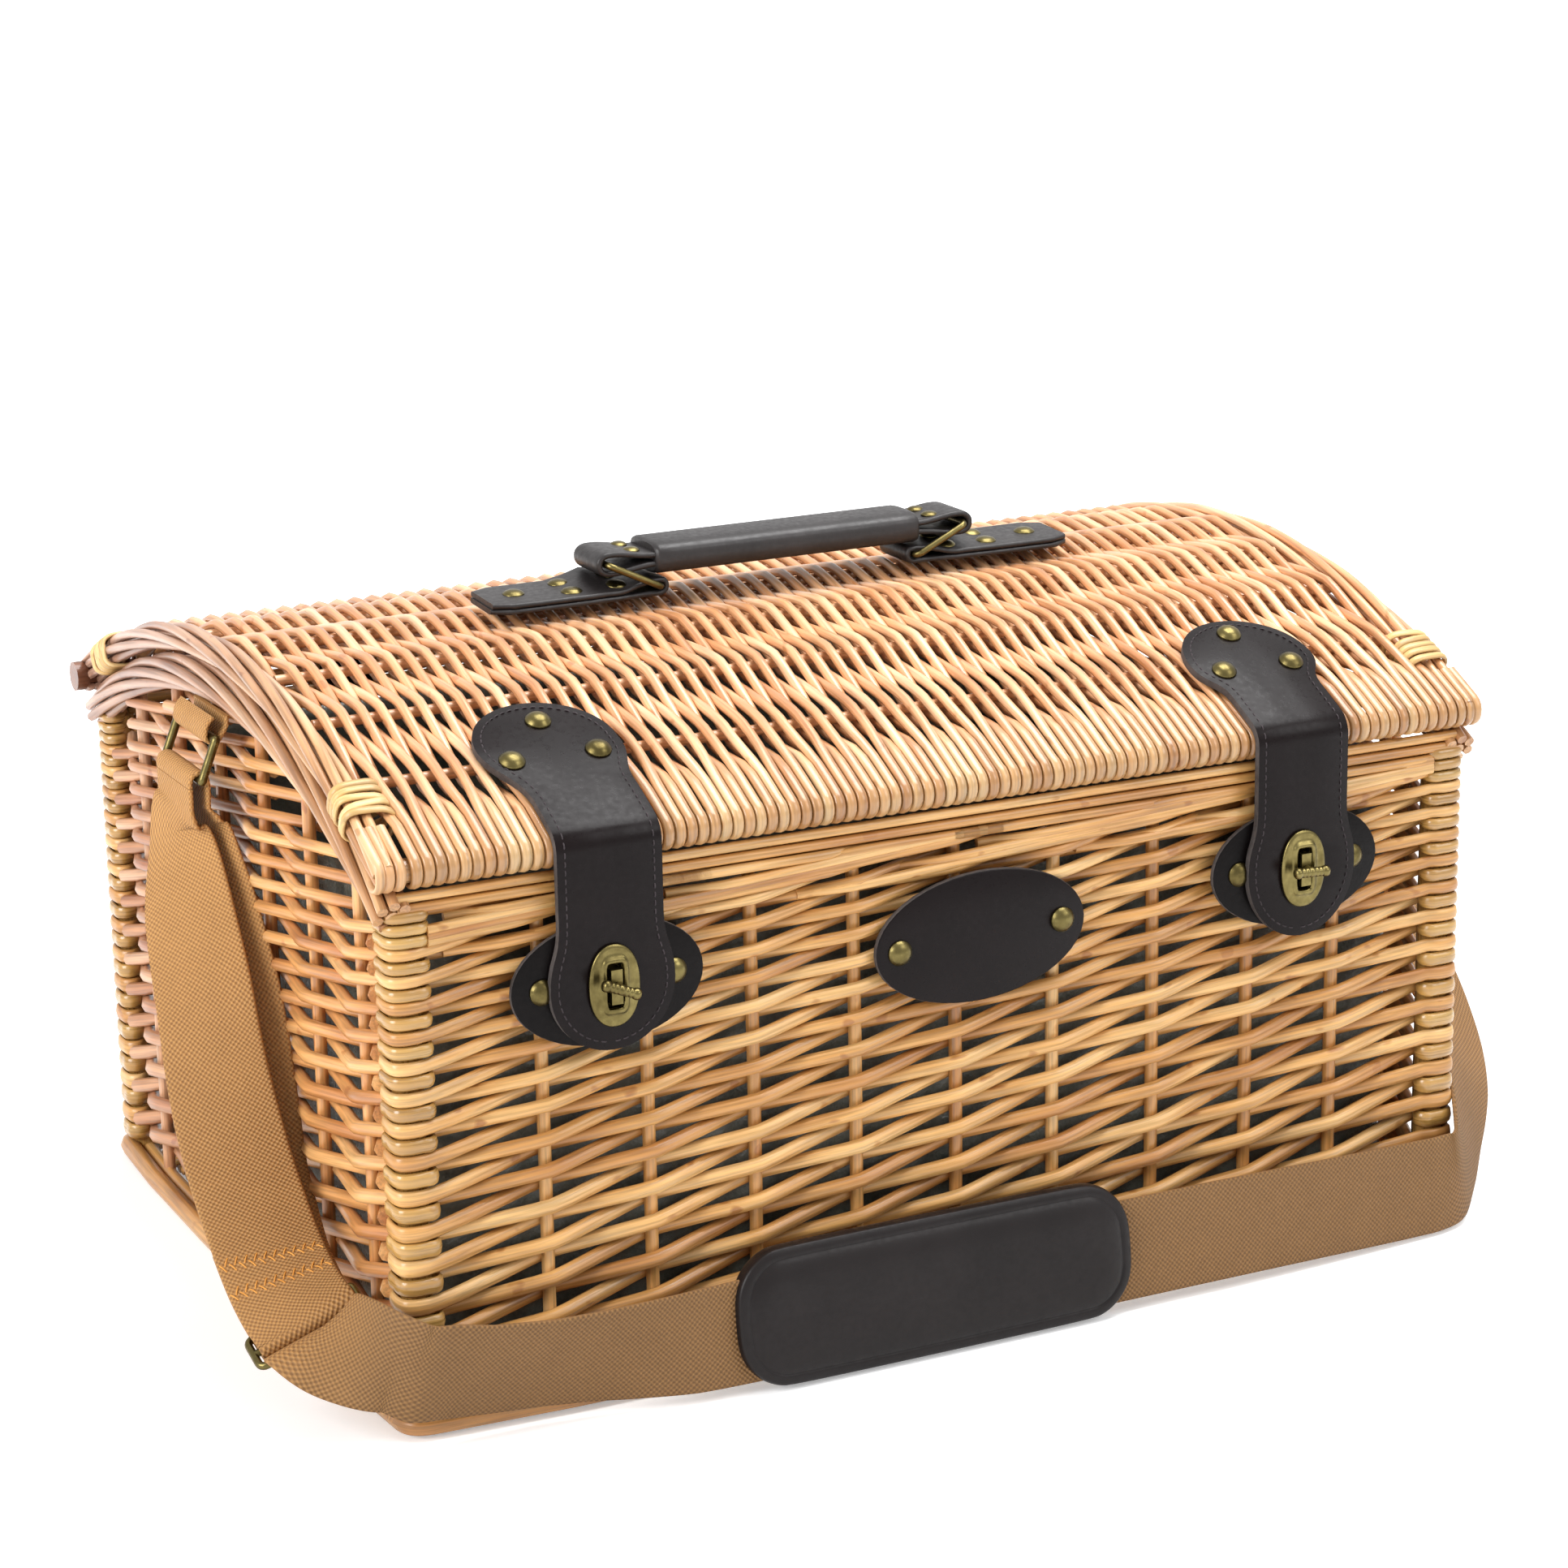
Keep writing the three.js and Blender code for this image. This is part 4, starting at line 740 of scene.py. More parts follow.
@dataclass(frozen=True)
class Studio:
    """The photo's camera, the soft lights and the white floor."""

    place: Triple = (-697.1, -1431.4, 615.2)
    azimuth: float = math.radians(26.31)
    pitch: float = math.radians(15.48)
    roll: float = math.radians(0.99)
    focal_ratio: float = 4943.8 / 1932.0
    sensor: float = 36.0
    lamps: tuple[Lamp, ...] = (
        Lamp("key", (1.3, -1.7, 1.6), (0.0, 0.0, 0.1), 1.2, 18.5),
        Lamp("left", (-2.1, -0.5, 1.25), (0.0, 0.0, 0.12), 1.3, 52.0),
        Lamp("top", (0.6, 0.0, 2.2), (0.0, 0.0, 0.1), 1.5, 62.0),
    )
    surround_light: float = 0.39
    floor_half: float = 12.0
    floor_z: float = -0.0006
    floor_grey: float = 0.86
    floor_glow: tuple[float, ...] = (0.45, 1.1, 0.36, 1.0)

    def make_camera(self) -> None:
        """Makes the scene's camera."""
        data = bpy.data.cameras.new("camera")
        data.sensor_width = self.sensor
        data.lens = self.sensor * self.focal_ratio
        heading = Vector((math.sin(self.azimuth), math.cos(self.azimuth), 0.0))
        ahead = math.cos(self.pitch) * heading - Vector((0.0, 0.0, math.sin(self.pitch)))
        right = ahead.cross(Vector((0.0, 0.0, 1.0))).normalized()
        down = ahead.cross(right)
        image_right = math.cos(self.roll) * right + math.sin(self.roll) * down
        image_down = math.cos(self.roll) * down - math.sin(self.roll) * right
        turn = Matrix((image_right, -image_down, -ahead)).transposed().to_4x4()
        camera = bpy.data.objects.new("camera", data)
        camera.matrix_world = Matrix.Translation(Vector(self.place) * MM) @ turn
        bpy.context.scene.collection.objects.link(camera)
        bpy.context.scene.camera = camera

    def make_surround(self) -> None:
        """Makes the white surround, softer as a light than as a background."""
        world = bpy.data.worlds.new("surround")
        bpy.context.scene.world = world
        world.use_nodes = True
        tree = NodeTree(world.node_tree)
        back = world.node_tree.nodes["Background"]
        back.inputs["Color"].default_value = (1.0, 1.0, 1.0, 1.0)
        tree.feed(back.inputs["Strength"], tree.spread(tree.looked_at(), 0.0, 1.0, self.surround_light, 1.0))

    def make_floor(self) -> None:
        """Makes the white floor, which keeps the basket's shadow."""
        shell = bmesh.new()
        bmesh.ops.create_grid(shell, x_segments=1, y_segments=1, size=self.floor_half)
        material = bpy.data.materials.new("floor_white")
        material.use_nodes = True
        tree = NodeTree(material.node_tree)
        inputs = material.node_tree.nodes["Principled BSDF"].inputs
        inputs["Roughness"].default_value = 0.8
        inputs["Specular IOR Level"].default_value = 0.1
        inputs["Base Color"].default_value = (self.floor_grey, self.floor_grey, self.floor_grey, 1.0)
        inputs["Emission Color"].default_value = (1.0, 1.0, 1.0, 1.0)
        away = tree.vector("LENGTH", {0: tree.place()}, "Value")
        glow = tree.spread(away, *self.floor_glow)
        tree.feed(inputs["Emission Strength"], tree.math("MULTIPLY", tree.looked_at(), glow))
        floor = piece_of("floor", shell, (material,))
        floor.location.z = self.floor_z

    def build(self) -> None:
        """Makes camera, lamps, surround and floor."""
        self.make_camera()
        for lamp in self.lamps:
            lamp.build()
        self.make_surround()
        self.make_floor()
        bpy.context.scene.view_settings.view_transform = "Standard"


# Shoulder strap and tail


@dataclass
class ShoulderStrap:
    """The webbing strap, its sewn tail, its slider and the pad on it.

    Attributes:
        near_gap: from the tail to the strap behind it, at the ring.
        layer_gap: the same at the slider.
        sag: how much further the strap hangs back between them.
        slip: how far it lies to one side there.
        stitch_rows: from the fold back to a row of stitches, at the strap's two edges.
        pad_rows: inset and rise of the rings of the pad's crown.
    """

    width: float = 40.0
    thickness: float = 2.0
    wrap: float = 3.45
    wrap_clear: float = 2.0
    drop: float = 9.0
    near_gap: float = 6.9
    layer_gap: float = 7.6
    sag: float = 6.4
    slip: float = 12.0
    fold: Triple = (-255.0, -140.0, 39.5)
    fold_across: Triple = (-0.92, 0.1, -0.38)
    bar: float = 3.0
    slider_length: float = 46.0
    slider_width: float = 18.0
    slider_shift: float = 0.9
    slider_corner: float = 2.6
    steps: int = 8
    hem_gap: float = 0.4
    hem_turns: tuple[float, ...] = (0.8, 1.57, 2.4, 3.14)
    stitch_rows: tuple[Flat, ...] = ((38.5, 34.5), (26.0, 21.5))
    stitch_arch: tuple[Flat, ...] = ((-1.0, 0.9), (-0.3, 1.3), (0.4, 1.3), (1.1, 0.9))
    stitch_pitch: float = 1.8
    stitch_margin: float = 2.0
    stitch_zigzag: float = 1.3
    stitch_half: float = 1.6
    pad_extra: float = 9.0
    pad_shift: Triple = (-2.0, 0.0, 3.4)
    pad_thickness: float = 6.4
    pad_height: float = 54.0
    pad_corner: float = 21.0
    pad_lean: float = math.radians(-8.6)
    pad_rows: tuple[Flat, ...] = ((1.4, 0.7), (2.6, 0.6), (0.7, -0.8), (0.7, 0.9), (4.5, 1.1), (6.0, 0.6))

    tail_route = (
        (-247, 8, 188, -0.25, 0.93, -0.27),
        (-251, -12, 163, -0.57, 0.82, -0.07),
        (-253.5, -33, 136, -0.75, 0.65, -0.08),
        (-254.5, -48, 106, -0.85, 0.5, -0.15),
        (-255, -68, 80, -0.93, 0.35, -0.05),
        (-256, -97, 58.5, -0.95, 0.25, -0.1),
        (-257, -115, 50.5, -0.94, 0.15, -0.28),
        (-257.2, -131, 45.2, -0.92, 0.1, -0.38),
    )
    front_route = (
        (-247.4, -164.8, 37.3, -0.65, 0.34, -0.685),
        (-237.6, -177.9, 35.4, -0.4, 0.345, -0.85),
        (-228.7, -183.8, 31.5, -0.285, 0.19, -0.94),
        (-217.5, -184.6, 30.2, -0.12, 0.2, -0.97),
        (-204.7, -184.8, 28.3, 0, 0.27, -0.963),
        (-180.3, -185.4, 26.2, 0, 0.3, -0.954),
        (-161.1, -186.4, 25.2, 0, 0.24, -0.97),
        (-141.7, -187.6, 24.2, 0, 0.1, -0.995),
        (-122, -188.5, 23.6, 0, -0.07, -0.997),
        (-100, -188.5, 23.6, 0, -0.15, -0.989),
        (-20, -188.5, 23.6, 0, -0.15, -0.989),
        (82, -188.5, 23.6, 0, -0.15, -0.989),
        (105, -188.5, 23.6, 0, -0.15, -0.989),
        (150, -187, 22.6, 0, -0.12, -0.993),
        (200, -184, 21, 0, -0.1, -0.995),
        (214, -183, 20.8, 0, -0.08, -0.996),
        (224, -180.5, 21.5, 0.06, -0.02, -0.998),
        (232, -174, 26, 0.2, 0.05, -0.98),
        (240, -164, 37, 0.42, 0.1, -0.9),
        (249, -150, 51, 0.68, 0.15, -0.71),
        (255, -134, 63, 0.82, 0.2, -0.53),
        (257.5, -116, 77, 0.91, 0.24, -0.34),
        (257, -95, 96, 0.95, 0.3, -0.12),
        (256, -72, 118, 0.9, 0.43, -0.05),
        (254.5, -51, 138, 0.8, 0.6, -0.05),
        (252, -31, 159, 0.65, 0.75, -0.08),
        (248, -10, 182, 0.35, 0.92, -0.15),
        (247, 8, 200, 0, 1, 0),
    )

    def ring_wrap(self, sign: int) -> list[tuple[float, ...]]:
        """Lays the half turn over a ring's lower bar.

        Args:
            sign: the side of the basket.
        Returns:
            Its stations, place and across direction, from the outside in.
        """
        out, up = SHELL.half_length + SHELL.ring_foot[0], SHELL.ring_foot[1]
        stations = [(sign * (out + self.wrap), SHELL.ring_y, up - self.wrap_clear, 0, 1, 0)]
        for angle in np.linspace(0.0, math.pi, 5):
            x, z = sign * (out + self.wrap * math.cos(angle)), up + self.wrap * math.sin(angle)
            stations.append((x, SHELL.ring_y, z, 0, 1, 0))
        return stations

    def spread_route(self, stations: Sequence[Sequence[float]]) -> Route:
        """Returns the smooth middle line and its across directions."""
        table = np.asarray(stations, float)
        line = smooth_line(table[:, :3], self.steps)
        share = np.linspace(0, len(table) - 1, len(line))
        spots = np.arange(len(table))
        across = np.stack([np.interp(share, spots, column) for column in table[:, 3:].T], axis=1)
        return line, unit(across)

    @staticmethod
    def faces(route: Route) -> Points:
        """Returns the normals of a ribbon, along times across."""
        line, across = route
        return unit(np.cross(unit(np.gradient(line, axis=0)), across))

    def slider_axes(self) -> tuple[Points, Points, Points]:
        """Returns the slider's directions: across the strap, on along it and out of its face."""
        across = unit(np.array(self.fold_across))
        onward = np.array(self.front_route[0][:3]) - np.array(self.tail_route[-2][:3])
        out = unit(np.cross(across, onward))
        return across, np.cross(out, across), out

    def routes(self) -> tuple[Route, Route]:
        """Returns the routes of the long strap and of the folded tail."""
        wrap = self.ring_wrap(-1)
        top_x, _, top_z = wrap[0][:3]
        top_z -= 0.3
        across, onward, out = self.slider_axes()
        middle = np.array(self.fold)
        reach = (self.bar + self.thickness) / 2 + 0.2
        outer = [
            (top_x, SHELL.ring_y, top_z, 0, 1, 0),
            (top_x, SHELL.ring_y, top_z - self.drop, 0, 1, 0),
            *self.tail_route,
            (*(middle + reach * out), *across),
        ]
        line, sides = self.spread_route(outer)
        normals = self.faces((line, sides))
        picked = slice(self.steps, None, self.steps // 2)
        share = np.linspace(0.0, 1.0, len(line[picked]))
        gaps = self.near_gap + (self.layer_gap - self.near_gap) * share
        gaps += self.sag * np.sin(np.pi * share) ** 2
        slips = self.slip * np.sin(np.pi * share) * (1.0 - share)
        behind = line[picked] + normals[picked] * gaps[:, None] - sides[picked] * slips[:, None]
        rest = [(*place, *side) for place, side in zip(behind, sides[picked])]
        rest.append((*(middle + self.slider_width / 2 * onward + reach * out), *across))
        strap = self.spread_route([*wrap, *rest, *self.front_route, *self.ring_wrap(1)])
        hem = []
        for angle in self.hem_turns:
            hem.append((*(middle + reach * (math.cos(angle) * out + math.sin(angle) * onward)), *across))
        back = (line + normals * (self.thickness + self.hem_gap))[::-self.steps][1:4]
        hem += [(*place, *side) for place, side in zip(back, sides[::-self.steps][1:4])]
        return strap, self.spread_route([*outer, *hem])

    def make_stitches(self, tail: Route) -> Object:
        """Makes the two rows of orange stitches that close the tail's hem.

        Args:
            tail: the tail's route.
        Returns:
            The stitches.
        """
        upto = self.steps * (len(self.tail_route) + 2) + 1
        tracks = [values[:upto] for values in (*tail, self.faces(tail))]
        gone = distances(tracks[0])
        half = self.width / 2 - self.stitch_margin
        bundle = Bundle("tail_stitches", 83)
        for left, right in self.stitch_rows:
            for step, across in enumerate(np.arange(-half, half + 0.1, self.stitch_pitch)):
                sign = -over_or_under(step)
                back = right + (left - right) * (across / self.width + 0.5) + sign * self.stitch_zigzag
                spots = []
                for shift, lift in self.stitch_arch:
                    at = gone[-1] - back + self.stitch_half * shift * sign
                    place, side, normal = (
                        np.array([np.interp(at, gone, values[:, k]) for k in range(3)]) for values in tracks
                    )
                    spots.append(place + side * (across + 0.9 * shift) - normal * lift)
                bundle.run(np.array(spots), -normal, 0.65, 0.5, sides=6)
        return bundle.build(ORANGE_STITCH, "body")

    def make_slider(self) -> Object:
        """Makes the wire slider at the tail's fold and returns it."""
        across, onward, out = self.slider_axes()
        middle = np.array(self.fold) + self.slider_shift * across
        half, side = (self.slider_length - self.bar) / 2, (self.slider_width - self.bar) / 2
        plan = rounded_rectangle((-half, -side), (half, side), self.slider_corner)
        bundle = Bundle("slider_wire")
        bundle.wire(np.array([middle + x * across + y * onward for x, y in plan]), out, self.bar)
        bundle.wire(np.array([middle + x * across for x in (-half, 0.0, half)]), out, self.bar, closed=False)
        return bundle.build(BRASS, "body", "strap_slider")

    def make_ribbon(self, node: str, route: Route) -> Object:
        """Makes one webbing ribbon in place of a node and returns it."""
        bundle = Bundle(f"{node}_webbing")
        bundle.ribbon(route[0], self.faces(route), self.width, self.thickness)
        return bundle.build(WEB_THREAD, "body", node)

    def declare(self, piece: Object, line: Points) -> None:
        """Args:
            piece: the strap.
            line: its middle line in mm.
        """
        length = float(distances(line)[-1])
        LOG.info("%s is %.0f mm long", piece.name, length)
        [tuple(point * MM) for point in line]

    def make_pad(self) -> None:
        """Makes the stuffed leather pad round the straight stretch."""
        low, high = (np.array(corner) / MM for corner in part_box("shoulder_pad"))
        middle = (low + high) / 2 + np.array(self.pad_shift)
        size = (high[0] - low[0] + self.pad_extra, self.pad_thickness, self.pad_height)
        shell = rounded_box(size, 1, self.pad_corner, 6)
        for sign in (-1, 1):
            face = max(shell.faces, key=lambda f: sign * f.calc_center_median().y)
            for inset, rise in self.pad_rows:
                bmesh.ops.inset_region(shell, faces=[face], thickness=inset)
                bmesh.ops.translate(shell, vec=(0.0, sign * rise, 0.0), verts=face.verts)
        turn = Matrix.Translation(Vector(middle) * MM) @ Matrix.Rotation(self.pad_lean, 4, "X")
        bmesh.ops.transform(shell, matrix=turn @ Matrix.Scale(MM, 4), verts=shell.verts)
        shade_smooth(shell)
        pad = piece_of("shoulder_pad_leather", shell, (material_of(SHEEN_PAD_LEATHER),))
        rounding = pad.modifiers.new("rounding", "SUBSURF")
        rounding.levels = rounding.render_levels = 2
        register(pad, "pad", Slot.LEATHER, "shoulder_pad")

    def build(self) -> None:
        """Makes strap, tail, slider and pad."""
        strap, tail = self.routes()
        ribbon = self.make_ribbon("shoulder_strap", strap)
        carried = [self.make_ribbon("strap_tail", tail), self.make_stitches(tail)]
        carried.append(self.make_slider())
        self.declare(ribbon, strap[0])
        self.make_pad()


# Woven body


@dataclass(frozen=True)
class Levels:
    """Heights of the weave's levels, closer together towards the top."""

    low: float = 5.0
    bottom_pitch: float = 8.0
    top_pitch: float = 4.62
    count: float = 29.0
    bottom_rod: float = 6.4
    top_rod: float = 4.7
    band_share: float = 0.92
    band_thickness: float = 2.6

    def share(self, level: Points | float) -> Points:
        """Returns how far up the long walls a level is, from 0 to 1."""
        return np.clip(level, 0, self.count) / self.count

    def pitch(self, level: Points | float) -> Points:
        """Returns the spacing at a level."""
        return self.bottom_pitch + (self.top_pitch - self.bottom_pitch) * self.share(level)

    def rod(self, level: Points | float) -> Points:
        """Returns a rod's diameter at a level."""
        return self.bottom_rod + (self.top_rod - self.bottom_rod) * self.share(level)

    def band(self, level: int) -> float:
        """Returns a corner band's width at a level."""
        return self.band_share * float(self.pitch(level))

    def height(self, level: Points | float) -> Points:
        """Returns the height of a level."""
        inside = np.clip(level, None, self.count)
        bend = (self.top_pitch - self.bottom_pitch) / (2 * self.count)
        rise = self.bottom_pitch * inside + bend * np.clip(inside, 0, None) ** 2
        return self.low + rise + self.top_pitch * np.clip(np.asarray(level) - self.count, 0, None)


LEVELS = Levels()


@dataclass
class WovenWall:
    """One wall: stakes, rods climbing one level per stake, corner bands of the long walls.

    Attributes:
        heading: the way its rods run, in x and y.
        plane: from the basket's middle to the stakes.
        long_stops: how far short of the corner a seen and a hidden rod of a long wall ends.
        end_stops: the same on an arched end.
        wobble: unevenness of a rod's height, and the length of its waves.
    """

    name: str
    heading: tuple[int, int]
    stakes: tuple[float, ...]
    half: float
    plane: float
    arched: bool
    seed: int

    swing: float = 4.7
    stake: float = 5.3
    stake_over: float = 8.0
    stake_lean: float = 0.8
    samples: int = 7
    top_level: int = 46
    headroom: float = 1.0
    border_room: float = 15.0
    long_stops: Flat = (15.5, 12.0)
    end_stops: Flat = (21.0, 14.0)
    flat_from: float = 16.0
    flat_over: float = 22.0
    wobble: Flat = (0.35, 31.0)

    band_middle = 10.0
    band_plan = (
        (9.5, 14.0), (5.5, 17.0), (2.0, 15.0), (1.3, 11.0),
        (1.3, 6.2), (2.6, 2.8), (6.2, 1.3), (10.5, 1.3),
    )

    @property
    def facing(self) -> Points:
        """Direction out of the basket."""
        return np.array([self.heading[1], -self.heading[0], 0.0])

    @property
    def supports(self) -> tuple[float, ...]:
        """Where corners and stakes stand along the wall."""
        return (-self.half, *self.stakes, self.half)

    def at(self, along: Points | float, depth: Points | float, height: Points | float) -> Points:
        """Returns points from wall distances: along the heading, out of the stakes' plane and up."""
        along, depth, height = np.broadcast_arrays(*(np.asarray(v, float) for v in (along, depth, height)))
        flat = np.array([*self.heading, 0.0])
        place = along[..., None] * flat + (self.plane + depth)[..., None] * self.facing
        place[..., 2] = height
        return place

    def ceiling(self, along: float) -> float:
        """Returns the highest that a rod's middle may come."""
        if not self.arched:
            return LEVELS.height(LEVELS.count) + self.headroom
        inner = SHELL.border_radius - self.border_room
        return SHELL.arc_z + math.sqrt(inner**2 - along**2)

    def corner_band(self, sign: int) -> tuple[Points, Points, Points]:
        """Returns along, depth and out of a band from the end face round to the long face."""
        line = smooth_line(self.band_plan, 3)
        along = sign * (self.half - line[:, 0])
        depth = SHELL.half_width - self.plane - line[:, 1]
        away = unit(self.band_middle - line)
        out = away[:, :1] * sign * np.array([*self.heading, 0.0]) + away[:, 1:] * self.facing
        return along, depth, out

    def held(self, number: int) -> tuple[int, int] | None:
        """Finds the supports that hold a rod.

        Args:
            number: the rod's level at the first support.
        Returns:
            The first and last support, or None for a rod that is clipped away.
        """
        inside = []
        for index, along in enumerate(self.supports):
            if number + index >= 1 and float(LEVELS.height(number + index)) <= self.ceiling(along):
                inside.append(index)
        if not inside:
            return None
        first, end = inside[0], inside[-1]
        if end < len(self.supports) - 1 and (number + end) % 2 == 0:
            end -= 1
        return (first, end) if end > first else None

    def rod(self, bundle: Bundle, number: int) -> None:
        """Adds one rod, clipped by the foot and the ceiling.

        Args:
            bundle: the wall's weave.
            number: the rod's level at the first support.
        """
        held = self.held(number)
        if held is None:
            return
        first, end = held
        share = np.arange(self.samples) / self.samples
        along, depth, level = [], [], []
        for index in range(first, end):
            start, stop = self.rod_stop(index, number), self.rod_stop(index + 1, number)
            along.append(start + (stop - start) * share)
            depth.append(over_or_under(number + index) * self.swing * weave_wave(share))
            level.append(number + index + share)
        along.append([self.rod_stop(end, number)])
        depth.append([over_or_under(number + end) * self.swing])
        level.append([float(number + end)])
        along, depth, level = (np.concatenate(values) for values in (along, depth, level))
        uneven, length = self.wobble
        phase = bundle.chance.uniform(0.0, 6.28)
        height = LEVELS.height(level) + uneven * np.sin(along / length + phase)
        wide, thick = LEVELS.rod(level), LEVELS.rod(level)
        out = np.broadcast_to(self.facing, (len(along), 3))
        for sign, post in ((-1, 0), (1, len(self.supports) - 1)):
            if self.arched or post not in held or (number + post) % 2:
                continue
            band_along, band_depth, band_out = self.corner_band(sign)
            near = np.clip(1.0 - (self.half - self.flat_from - sign * along) / self.flat_over, 0.0, 1.0)
            flat = LEVELS.band(number + post)
            wide = wide + (flat - wide) * near
            thick = thick + (LEVELS.band_thickness - thick) * near
            even = np.ones(len(band_along))
            level_height = even * height[0 if sign < 0 else -1]
            pairs = [(band_along, along), (band_depth, depth), (level_height, height), (even * flat, wide)]
            pairs += [(even * LEVELS.band_thickness, thick), (band_out, out)]
            joined = [np.concatenate(pair if sign < 0 else (pair[1], pair[0][::-1])) for pair in pairs]
            along, depth, height, wide, thick, out = joined
        bundle.run(self.at(along, depth, height), out, wide, thick)

    def rod_stop(self, support: int, number: int) -> float:
        """Returns where a rod meets a support, short of the corner at a post."""
        place = self.supports[support]
        if abs(place) < self.half:
            return place
        seen, hidden = self.end_stops if self.arched else self.long_stops
        return place - math.copysign(hidden if (number + support) % 2 else seen, place)

    def build(self, finish: WillowFinish) -> None:
        """Makes the wall's rods and stakes."""
        rods = Bundle(f"{self.name}_weave", self.seed)
        for number in range(2 - len(self.supports), self.top_level):
            self.rod(rods, number)
        rods.build(finish, "body", self.name)
        stakes = Bundle(f"{self.name}_stakes", self.seed + 50)
        for place in self.stakes:
            height = np.linspace(1.0, self.ceiling(place) + self.stake_over, 9)
            lean = stakes.chance.uniform(-self.stake_lean, self.stake_lean) * np.sin(height / 60.0)
            stakes.run(self.at(place + lean, 0.0, height), self.facing, self.stake)
        stakes.build(finish, "body")


def rope(
    bundle: Bundle, line: Points, out: Points, strands: int, strand: float, reach: float, lay: float
) -> None:
    """Adds strands laid round a middle line.

    Args:
        bundle: the piece.
        line: the rope's middle line.
        out: one direction across it, per point.
        strands: how many.
        strand: a strand's diameter.
        reach: from the middle line to a strand's middle.
        lay: length of one full turn.
    """
    side = np.cross(unit(np.gradient(line, axis=0)), out)
    turns = distances(line) / lay
    for number in range(strands):
        angle = 2 * np.pi * (number / strands + turns)
        spoke = np.cos(angle)[:, None] * out + np.sin(angle)[:, None] * side
        bundle.run(line + reach * spoke, spoke, strand)


def arch(x: float, radius: float, start: float, end: float, count: int = ARCH_STEPS) -> Route:
    """Returns points on the lid's arch at x between two angles from upright, and their outward directions."""
    angles = np.linspace(start, end, count)
    out = columns(0.0, np.sin(angles), np.cos(angles))
    return np.array([x, 0.0, SHELL.arc_z]) + radius * out, out


